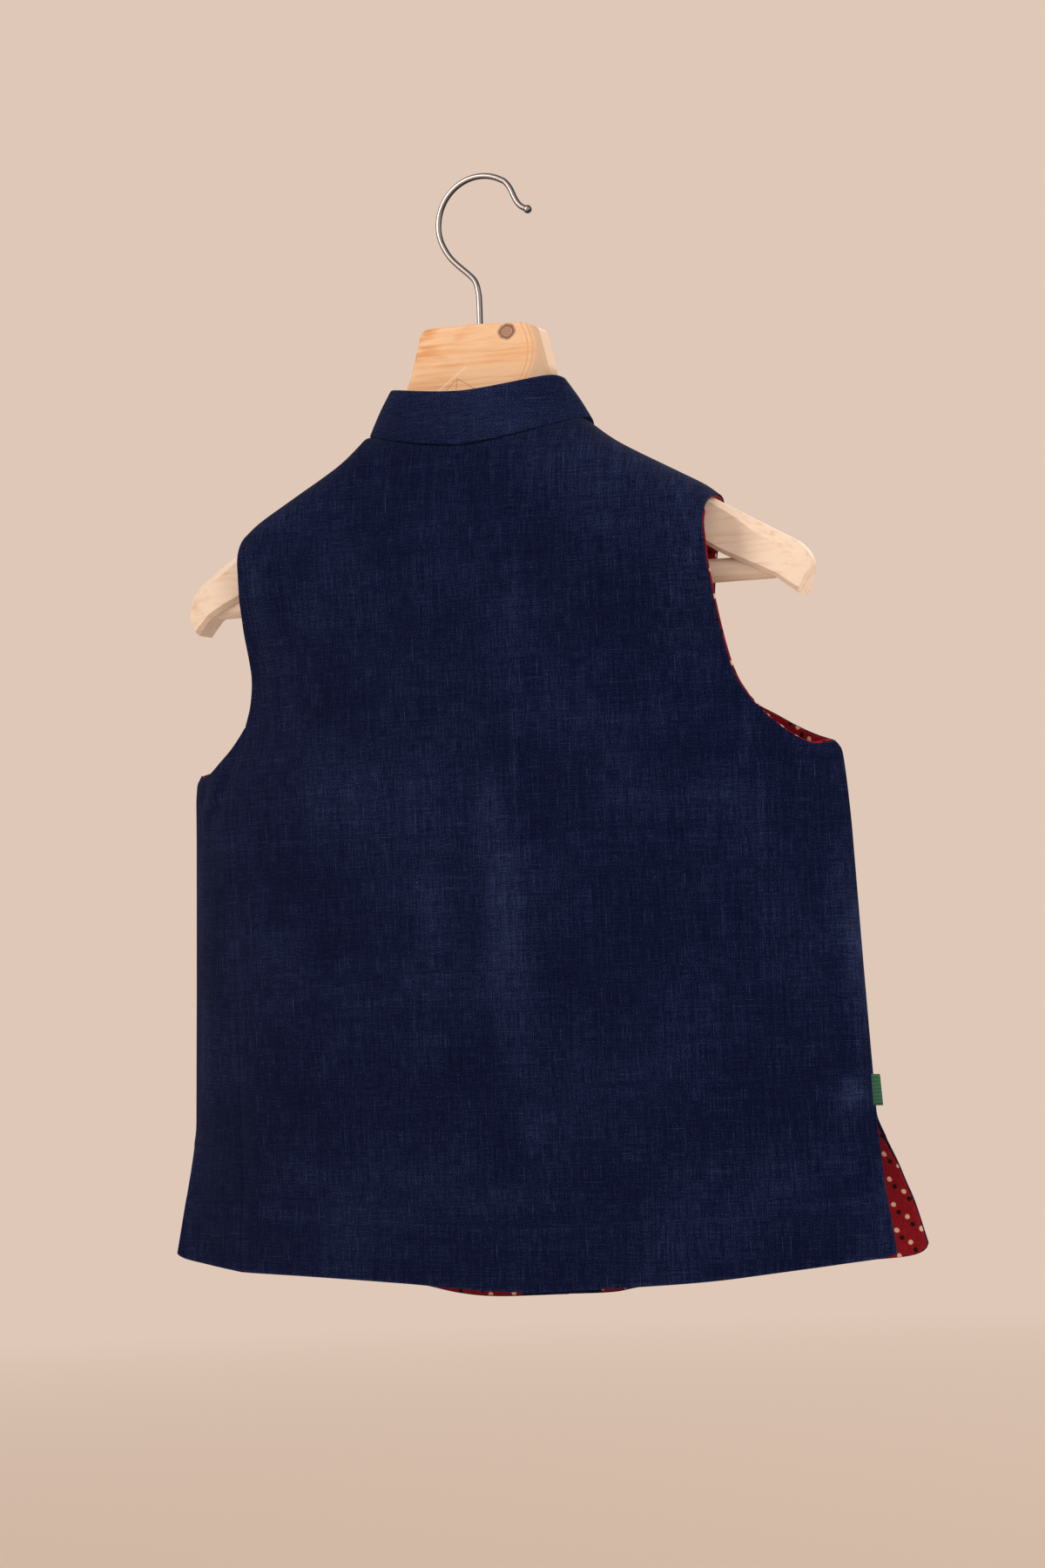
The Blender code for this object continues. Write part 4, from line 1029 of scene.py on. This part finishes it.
def turned_button(number):
    """A disc with a raised rim, turned from a profile, with four holes bored through it."""
    mesh = bmesh.new()
    verts = [mesh.verts.new((radius * MM, 0, up * MM)) for radius, up in BUTTON_PROFILE]
    edges = [mesh.edges.new(pair) for pair in zip(verts, verts[1:])]
    bmesh.ops.spin(mesh, geom=verts + edges, cent=(0, 0, 0), axis=(0, 0, 1), angle=2 * pi, steps=48, use_merge=True)
    bmesh.ops.remove_doubles(mesh, verts=list(mesh.verts), dist=0.01 * MM)
    bmesh.ops.recalc_face_normals(mesh, faces=list(mesh.faces))
    disc = link_mesh("disc before boring", mesh)
    drills = bmesh.new()
    for across, up in BUTTON_HOLES:
        drill = round_bar(drills, BUTTON_HOLE, 3 * BUTTON_THICK, 16)
        bmesh.ops.translate(drills, vec=Vector((across, up, 0)) * MM, verts=drill)
    cutter = link_mesh("drills", drills)
    boring = disc.modifiers.new("holes", "BOOLEAN")
    boring.operation, boring.solver, boring.object = "DIFFERENCE", "EXACT", cutter
    bored = bmesh.new()
    bored.from_mesh(disc.evaluated_get(bpy.context.evaluated_depsgraph_get()).to_mesh())
    bpy.data.objects.remove(disc)
    bpy.data.objects.remove(cutter)
    bmesh.ops.transform(bored, matrix=button_place(number), verts=bored.verts)
    piece = link_mesh(f"button_disc_{number + 1}", bored)
    rounded(piece, 0.12, 2, 40)
    return piece

# %% Thread and the folded tape
def button_thread(number):
    """Thread from hole to hole across the button's face, in two pairs that cross."""
    mesh = bmesh.new()
    for turn, lift in ((45, 0.0), (-45, THREAD_CROSSES)):
        stitch = round_bar(mesh, THREAD_RADIUS, 2 * sqrt(2) * BUTTON_HOLE_SPACE, 10)
        laid = Matrix.Rotation(radians(turn), 4, "Z") @ Matrix.Rotation(pi / 2, 4, "Y")
        bmesh.ops.transform(mesh, matrix=Matrix.Translation((0, 0, (THREAD_LIES + lift) * MM)) @ laid, verts=stitch)
    for across, up in BUTTON_HOLES:
        stem = round_bar(mesh, THREAD_RADIUS, STEM_LONG, 10)
        bmesh.ops.translate(mesh, vec=Vector((across, up, STEM_MIDDLE)) * MM, verts=stem)
    bmesh.ops.transform(mesh, matrix=button_place(number), verts=mesh.verts)
    return link_mesh(f"button_thread_{number + 1}", mesh)


def folded_label():
    mesh = bmesh.new()
    bmesh.ops.create_cube(mesh, size=1)
    bmesh.ops.scale(mesh, vec=Vector((LABEL_WIDE, LABEL_THICK, LABEL_TALL)) * MM, verts=mesh.verts)
    bmesh.ops.subdivide_edges(mesh, edges=list(mesh.edges), cuts=6, use_grid_fill=True)
    outer = [e for e in mesh.edges if all(v.co.x > 0.49 * LABEL_WIDE * MM for v in e.verts)
             and all(abs(abs(v.co.y) - LABEL_THICK * MM / 2) < 1e-7 for v in e.verts)
             and abs(e.verts[0].co.z - e.verts[1].co.z) > 1e-6]
    bmesh.ops.bevel(mesh, geom=outer, offset=0.6 * MM, segments=4, affect="EDGES", profile=0.5, material=-1)
    middle = LABEL_TOP - LABEL_TALL / 2
    half_width = float(np.interp(LABEL_TOP - LABEL_TALL, LEVELS, BACK_FORM[0]))
    depth = float(np.interp(middle, LEVELS, BACK_FORM[2]))
    for vertex in mesh.verts:
        vertex.co.x -= LABEL_LEAN * vertex.co.z
    bmesh.ops.translate(mesh, vec=metres(half_width - LABEL_IN + LABEL_WIDE / 2, depth - LABEL_BACK, middle),
                        verts=mesh.verts)
    return link_mesh("green_label", mesh)


discs = [turned_button(number) for number in range(BUTTON_COUNT)]
threads = [button_thread(number) for number in range(BUTTON_COUNT)]
label = folded_label()
print("buttons:", len(discs))

# %% [markdown]
# The outer cloth is khadi: cotton spun and woven by hand, dyed with indigo. Hand-spun thread is thick and thin by
# turns, so the cloth shows fine streaks along both threads, a short bright slub now and then, and small white specks
# of undyed fibre. The dye has worn off in patches and on ridges, where the streaks show more. The threads are about
# half a millimetre wide, and the finest streaks are drawn at that width. Cotton has almost no gloss.

# %% Indigo khadi
INDIGO_DEEP = "#040926"
INDIGO_MID = "#0A1335"
INDIGO_WORN = "#3C4B78"


def threads_pattern(tree, place, across_mm, along_mm, detail=2.0, shift=0.0):
    """A noise stretched along the threads: thick and thin yarn, that wide and that long."""
    stretched = add(tree, "Mapping", i0=place, Location=(shift, shift, 0),
                    Scale=(1 / (across_mm * MM), 1 / (along_mm * MM), 1))
    return add(tree, "TexNoise", Vector=stretched.outputs[0], Scale=1.0, Detail=detail, Roughness=0.6).outputs["Fac"]


def weighed(tree, pattern, weight, rest):
    """Adds a noise to rest, as a departure from its middle, times a weight."""
    return calc(tree, "MULTIPLY_ADD", calc(tree, "SUBTRACT", pattern, 0.5), weight, rest)


def indigo_khadi(name, warp_weight, weft_weight):
    """The weights say how much the threads down and across the cloth show."""
    made, tree = new_material(name, Roughness=0.95, Sheen_Weight=0.03, Sheen_Roughness=0.6,
                              Sheen_Tint=colour("#8FA0C8"), Specular_IOR_Level=0.06)
    place = add(tree, "UVMap", {"uv_map": "cloth"}).outputs[0]
    wear = add(tree, "Attribute", {"attribute_name": "wear"}).outputs["Fac"]
    yarn = 0.0
    for across, along, detail, shift, weight in (
            (0.5, 12, 2.0, 0.0, warp_weight), (10, 0.5, 2.0, 0.0, weft_weight),
            (1.2, 70, 1.0, 2.3, 0.4 * warp_weight), (60, 1.2, 1.0, 4.9, 0.4 * weft_weight),
            (0.6, 0.6, 1.0, 0.0, 0.95)):
        yarn = weighed(tree, threads_pattern(tree, place, across, along, detail, shift), weight, yarn)
    warp_slubs = remap(tree, threads_pattern(tree, place, 0.5, 22, 0.0, 3.1), 0.72, 0.88)
    weft_slubs = remap(tree, threads_pattern(tree, place, 26, 0.5, 0.0, 5.7), 0.72, 0.88)
    slubs = calc(tree, "MAXIMUM", warp_slubs, calc(tree, "MULTIPLY", weft_slubs, 0.7))
    specks = remap(tree, threads_pattern(tree, place, 0.9, 0.9, 0.0, 1.7), 0.87, 0.93, 0.0, 0.4)
    cloudy = add(tree, "TexNoise", Vector=place, Scale=13.0, Detail=5.0, Roughness=0.62).outputs["Fac"]
    middle = weighed(tree, cloudy, 0.3, calc(tree, "MULTIPLY_ADD", wear, 0.3, 0.45))
    shown = calc(tree, "MULTIPLY_ADD", yarn, calc(tree, "MULTIPLY_ADD", wear, 0.6, 1.0), middle)
    shown = calc(tree, "MULTIPLY_ADD", slubs, 0.3, shown, True)
    cloth_colour = ramp(tree, shown, ((0.32, INDIGO_DEEP), (0.5, INDIGO_MID), (1.0, INDIGO_WORN)))
    relief = calc(tree, "ADD", yarn, slubs)
    return surfaced(made, mixed(tree, specks, cloth_colour, "#8E9BB8"), relief, 0.35, 0.3)


indigo = indigo_khadi("indigo_khadi_cotton", 0.52, 0.42)
collar_indigo = indigo_khadi("indigo_khadi_cotton_collar", 0.2, 0.4)

# %% [markdown]
# The lining is a thinner cotton, block-printed by hand: red all over, then a lattice of cream dots and a lattice of
# black ones beside them. The lattice is slanted, so the shader measures a point's place along the lattice's own two
# directions, keeps the fraction within one cell, and turns that back to millimetres from the cell's dot.

# %% Printed lining
DOT_STEP_ONE = (0.0, 16.1)
DOT_STEP_TWO = (7.8, -7.6)
CREAM_RADIUS = 1.5
BLACK_RADIUS = 1.5
DOT_BLUR = 0.25
PRINT_WOBBLE = 0.9
CREAM_OFFSET = (1.8, -5.2)
BLACK_OFFSET = (4.4, -9.9)


def lattice_dots(tree, place, shift, radius):
    """1 inside the dots of the lattice, 0 outside. shift is where this lattice's dots lie."""
    (ax, ay), (bx, by) = DOT_STEP_ONE, DOT_STEP_TWO
    area = ax * by - ay * bx
    moved = add(tree, "Mapping", i0=place, Location=(-shift[0], -shift[1], 0), Scale=(1000, 1000, 1)).outputs[0]
    fractions = []
    for row in ((by / area, -bx / area, 0), (-ay / area, ax / area, 0)):
        fraction = calc(tree, "FRACT", vector_calc(tree, "DOT_PRODUCT", moved, row))
        fractions.append(calc(tree, "SUBTRACT", fraction, 0.5))
    first, second = scaled(tree, (ax, ay, 0), fractions[0]), scaled(tree, (bx, by, 0), fractions[1])
    distance = length_of(tree, vector_calc(tree, "ADD", first, second, "Vector"))
    return remap(tree, distance, radius + DOT_BLUR, radius - DOT_BLUR)


def printed_lining():
    made, tree = new_material("block_printed_cotton_lining", Roughness=0.9, Sheen_Weight=0.04,
                              Specular_IOR_Level=0.12)
    uv = add(tree, "UVMap", {"uv_map": "cloth"}).outputs[0]
    wobble = add(tree, "TexNoise", Vector=uv, Scale=260.0, Detail=1.0).outputs["Color"]
    place = vector_calc(tree, "ADD", uv, scaled(tree, wobble, PRINT_WOBBLE * MM), "Vector")
    yarn = calc(tree, "ADD", threads_pattern(tree, uv, 0.6, 8), threads_pattern(tree, uv, 8, 0.6))
    red = ramp(tree, remap(tree, yarn, 0.7, 1.3), ((0.0, "#6E0E1A"), (1.0, "#A01C2A")))
    cream = lattice_dots(tree, place, CREAM_OFFSET, CREAM_RADIUS)
    black = lattice_dots(tree, place, BLACK_OFFSET, BLACK_RADIUS)
    printed = mixed(tree, cream, mixed(tree, black, red, "#1C1113"), "#EBC6AE")
    return surfaced(made, printed, yarn, 0.25, 0.2)


lining = printed_lining()

# %% [markdown]
# The hanger is pine under a clear lacquer. A tree's rings run along a board as uneven orange stripes, with fine
# fibres between them. The block also has a dark knot near its top, bowed growth rings beside the knot, and the thin
# lines of its glued finger joint. The arms and the bar are plainer and paler.

# %% Lacquered pine
KNOT = (22.0, -104.2)
KNOT_RADIUS = 5.6
KNOT_RINGS_APART = 1.7
RING_MIDDLE = -116
RINGS_APART = 3.2
JOINT_TIP = (-12.7, -131.0)
JOINT_ENDS = ((-27.0, -143.0), (-14.8, -143.0), (0.0, -139.0))
GLUE_LINE = ((-6.7, -124.0), (-33.0, -142.5))


def stretched_noise(tree, place, along_mm, across_mm, detail=2.0):
    """A noise drawn out along X, as wood grain is."""
    laid = add(tree, "Mapping", i0=place, Scale=(1 / (along_mm * MM), 1 / (across_mm * MM), 1 / (across_mm * MM)))
    return add(tree, "TexNoise", Vector=laid.outputs[0], Scale=1.0, Detail=detail).outputs["Fac"]


def pine_grain(tree, place):
    """Broad stripes, fine fibres, and both together from 0 for pale wood to 1 for dark."""
    stripes = remap(tree, stretched_noise(tree, place, 60, 3.4, 3.0), 0.48, 0.72)
    fibres = stretched_noise(tree, place, 14, 0.35)
    grain = calc(tree, "MULTIPLY_ADD", remap(tree, fibres, 0.35, 0.7), 0.22, calc(tree, "MULTIPLY", stripes, 0.7))
    return grain, fibres


def lacquered_pine_arm():
    made, tree = new_material("lacquered_pine_arm", Roughness=0.5, Coat_Weight=0.15, Coat_Roughness=0.35)
    place = add(tree, "TexCoord").outputs["Object"]
    grain, fibres = pine_grain(tree, place)
    wood = ramp(tree, grain, ((0.0, "#F4E6D8"), (0.5, "#EDD8C2"), (1.0, "#D8B698")))
    return surfaced(made, wood, fibres, 0.12, 0.2)

# %% The block's knot, rings and joint
def stroke(tree, place, start, end, width):
    """A thin straight line drawn on the block's faces, 1 on the line and 0 beside it."""
    run = sqrt((end[0] - start[0]) ** 2 + (end[1] - start[1]) ** 2)
    across, height = (end[0] - start[0]) / run, (end[1] - start[1]) / run
    corner = metres(start[0], 0, start[1])
    off = vector_calc(tree, "SUBTRACT", place, corner, "Vector")
    along = vector_calc(tree, "DOT_PRODUCT", off, (across, 0, height))
    aside = vector_calc(tree, "DOT_PRODUCT", off, (-height, 0, across))
    line = remap(tree, calc(tree, "ABSOLUTE", aside), width * MM, 0.3 * width * MM)
    started = remap(tree, along, -width * MM, width * MM)
    ended = remap(tree, along, run * MM, (run - 2 * width) * MM)
    return calc(tree, "MULTIPLY", line, calc(tree, "MULTIPLY", started, ended))


def lacquered_pine_block():
    made, tree = new_material("lacquered_pine_block", Roughness=0.45, Coat_Weight=0.2, Coat_Roughness=0.3)
    place = add(tree, "TexCoord").outputs["Object"]
    grain, fibres = pine_grain(tree, place)
    knot = metres(KNOT[0], 0, KNOT[1])
    off = add(tree, "Mapping", i0=place, Location=(-knot.x, 0, -1.15 * knot.z), Scale=(1, 0, 1.15)).outputs[0]
    wobble = calc(tree, "MULTIPLY", stretched_noise(tree, place, 3, 3), 0.003)
    radius = calc(tree, "ADD", length_of(tree, off), wobble)
    in_knot = remap(tree, radius, (KNOT_RADIUS + 2.6) * MM, (KNOT_RADIUS + 0.6) * MM)
    rim = calc(tree, "MULTIPLY", remap(tree, radius, (KNOT_RADIUS - 0.8) * MM, (KNOT_RADIUS + 1.0) * MM), in_knot)
    swirl = calc(tree, "SINE", calc(tree, "MULTIPLY", radius, 2 * pi / (KNOT_RINGS_APART * MM)))
    knot_shade = calc(tree, "MULTIPLY_ADD", remap(tree, swirl, -0.2, 1.0), 0.35, calc(tree, "MULTIPLY", rim, 0.6))
    beside = add(tree, "SeparateXYZ", i0=place).outputs
    off_middle = calc(tree, "ADD", beside["Z"], -metres(0, 0, RING_MIDDLE).z)
    bow = calc(tree, "POWER", calc(tree, "MULTIPLY", off_middle, 1 / (15 * MM)), 2.0)
    ring_place = calc(tree, "MULTIPLY_ADD", bow, 4 * MM, beside["X"])
    rings = calc(tree, "SINE", calc(tree, "MULTIPLY", ring_place, 2 * pi / (RINGS_APART * MM)))
    beyond = remap(tree, ring_place, 32 * MM, 35 * MM)
    beyond = calc(tree, "MULTIPLY", beyond, remap(tree, ring_place, 45 * MM, 41 * MM))
    pale_side = remap(tree, ring_place, 38 * MM, 44 * MM)
    ring_lines = calc(tree, "MULTIPLY", calc(tree, "MULTIPLY", remap(tree, rings, 0.55, 1.0), beyond), 0.5)
    orange = remap(tree, stretched_noise(tree, place, 26, 6, 2.0), 0.45, 0.65)
    high = remap(tree, beside["Z"], metres(0, 0, -126).z, metres(0, 0, -104).z)
    left_part = remap(tree, beside["X"], 22 * MM, -20 * MM, 0.0, 0.6)
    shade = calc(tree, "MULTIPLY_ADD", orange, calc(tree, "MULTIPLY", high, left_part),
                 calc(tree, "MULTIPLY", grain, 0.5))
    shade = calc(tree, "MAXIMUM", shade, ring_lines)
    wood = ramp(tree, shade, ((0.0, "#F2CDA6"), (0.35, "#E7AF78"), (1.0, "#BE7434")))
    knot_wood = ramp(tree, knot_shade, ((0.0, "#B58C70"), (0.5, "#7A5140"), (1.0, "#3A221C")))
    whole = mixed(tree, in_knot, mixed(tree, pale_side, wood, "#D2B598"), knot_wood)
    for end in JOINT_ENDS:
        line = calc(tree, "MULTIPLY", stroke(tree, place, JOINT_TIP, end, 0.45), 0.6)
        whole = mixed(tree, line, whole, "#A8683C")
    glue = calc(tree, "MULTIPLY", stroke(tree, place, *GLUE_LINE, 0.6), 0.7)
    whole = mixed(tree, glue, whole, "#FBE6CC")
    return surfaced(made, whole, fibres, 0.12, 0.2)


pine_block = lacquered_pine_block()
pine_arm = lacquered_pine_arm()

# %% [markdown]
# The remaining finishes are simple: polished chrome plate on steel wire, whose colour carries painted reflections,
# dark polyester resin for the buttons, polyester thread, and a ribbed woven tape for the label.

# %% Chrome, resin, thread and tape
def chrome_plate():
    """Plate on drawn wire, with painted reflections: its colour is dark on the wire's flanks and bright on its back
    and front.
    """
    made, tree = new_material("polished_chrome_plate", Metallic=1.0, Roughness=0.24)
    # Painted reflection: the colour follows which way the surface faces, dark where it faces sideways and bright
    # where it faces front or back.
    facing = add(tree, "SeparateXYZ", i0=add(tree, "TexCoord").outputs["Normal"]).outputs["Y"]
    facing = calc(tree, "ABSOLUTE", facing)
    return surfaced(made, ramp(tree, facing, ((0.5, "#3C3C41"), (0.8, "#6C6C70"), (0.97, "#C9C9CC"))))


def button_resin():
    made, tree = new_material("cast_polyester_resin", Roughness=0.35, Coat_Weight=0.2)
    place = add(tree, "TexCoord").outputs["Object"]
    swirl = add(tree, "TexNoise", Vector=place, Scale=180.0, Detail=3.0, Distortion=1.5).outputs["Fac"]
    return surfaced(made, ramp(tree, swirl, ((0.3, "#0C0F1C"), (0.75, "#232A44"))))


def sewing_thread():
    made, tree = new_material("twisted_sewing_thread", Roughness=0.7, Sheen_Weight=0.2)
    place = add(tree, "TexCoord").outputs["Object"]
    twist = add(tree, "TexNoise", Vector=place, Scale=1800.0, Detail=1.0).outputs["Fac"]
    return surfaced(made, ramp(tree, twist, ((0.3, "#0E1734"), (0.7, "#2B3C6C"))))


def woven_tape():
    made, tree = new_material("ribbed_woven_tape", Roughness=0.75, Sheen_Weight=0.2)
    place = add(tree, "TexCoord").outputs["Object"]
    ribs = add(tree, "TexWave", {"wave_type": "BANDS", "bands_direction": "Z"}, Vector=place,
               Scale=0.3 / (0.7 * MM) / pi, Distortion=2.5, Detail=2.0).outputs["Fac"]
    return surfaced(made, ramp(tree, ribs, ((0.0, "#18513A"), (1.0, "#286A50"))), ribs, 0.4, 0.3)


chrome = chrome_plate()
resin = button_resin()
thread = sewing_thread()
tape = woven_tape()
print("finishes:", len(bpy.data.materials))

# %% [markdown]
# Each piece now gets its finish, takes the place of the plain solid that it stands for, and rides on the one body.

# %% Finish every piece and put it on the frame
FINISHES = [
    (back, indigo, "indigo", "back"),
    (collar, collar_indigo, "indigo", "collar"),
    (lining_back, lining, "lining_red", "lining_back"),
    (bar, pine_arm, "pine", "trouser_bar"),
    (block, pine_block, "pine", "hanger_block"),
    (hook, chrome, "chrome", "hook"),
    (label, tape, "label_green", "label_loop"),
    *((disc, resin, "button", f"button_{i + 1}") for i, disc in enumerate(discs)),
    *((strand, thread, "indigo", None) for strand in threads),
]
for side, hand in HANDS:
    FINISHES += [
        (side_backs[side], indigo, "indigo", f"side_back_{hand}"),
        (fronts[side], indigo, "indigo", f"front_{hand}"),
        (facings[side], indigo, "indigo", f"facing_{hand}"),
        (side_linings[side], lining, "lining_red", f"lining_side_back_{hand}"),
        (front_linings[side], lining, "lining_red", f"lining_front_{hand}"),
        (arms[side], pine_arm, "pine", f"hanger_arm_{hand}"),
    ]
for piece, finish, slot, node in FINISHES:
    piece.data.materials.clear()
    piece.data.materials.append(finish)
    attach(piece, "root")
    if node:
        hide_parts(node)
print("pieces on the frame:", len(FINISHES))

# %% [markdown]

# %% [markdown]
# The set is a pale floor a little below the jacket, a pale warm surround, and large soft lamps: the photograph's
# light is wide and even, so its shadows have no edge.

# %% Floor, surround and lamps
FLOOR_HEIGHT = -1.0
FLOOR_RADIUS = 7.0
FLOOR_FADE = (1.3, 3.2)
SURROUND = "#DFC8B7"
MIDDLE = Vector((0, 0, -0.4))


def pale_floor():
    mesh = bmesh.new()
    bmesh.ops.create_circle(mesh, cap_ends=True, segments=96, radius=FLOOR_RADIUS)
    bmesh.ops.translate(mesh, vec=(0, 0, FLOOR_HEIGHT), verts=mesh.verts)
    floor = link_mesh("floor", mesh, smooth=False)
    made, tree = new_material("matt_painted_floor", Roughness=0.9, Base_Color=colour("#D0C7C0"))
    paint = tree.nodes["Principled BSDF"].outputs[0]
    far = remap(tree, length_of(tree, add(tree, "TexCoord").outputs["Object"]), *FLOOR_FADE)
    glow = add(tree, "Emission", Color=colour(SURROUND), Strength=1.0).outputs[0]
    blended = add(tree, "MixShader", i0=far, i1=paint, i2=glow).outputs[0]
    tree.links.new(blended, tree.nodes["Material Output"].inputs["Surface"])
    floor.data.materials.append(made)


def soft_lamp(name, place, size, watts, code):
    """A rectangular lamp that faces the middle of the jacket."""
    lamp_data = bpy.data.lights.new(name, "AREA")
    lamp_data.shape = "RECTANGLE"
    lamp_data.size, lamp_data.size_y = size
    lamp_data.energy = watts
    lamp_data.color = colour(code)[:3]
    lamp = bpy.data.objects.new(name, lamp_data)
    bpy.context.scene.collection.objects.link(lamp)
    way = MIDDLE - Vector(place)
    lamp.matrix_world = Matrix.Translation(place) @ way.to_track_quat("-Z", "Y").to_matrix().to_4x4()


pale_floor()
world = bpy.data.worlds.new("surround")
world.use_nodes = True
background = world.node_tree.nodes["Background"].inputs
background["Color"].default_value = colour(SURROUND)
background["Strength"].default_value = 1.0
bpy.context.scene.world = world
soft_lamp("key", (-1.6, -2.0, 0.9), (1.4, 1.6), 26, "#FFF6EA")
soft_lamp("fill", (2.2, -1.0, 0.3), (1.2, 1.6), 19, "#FFF8F0")
soft_lamp("back", (0.4, 2.2, 1.0), (1.6, 1.2), 12, "#FFF6EC")
bpy.context.scene.view_settings.view_transform = "Standard"
print("lamps:", len(bpy.data.lights))
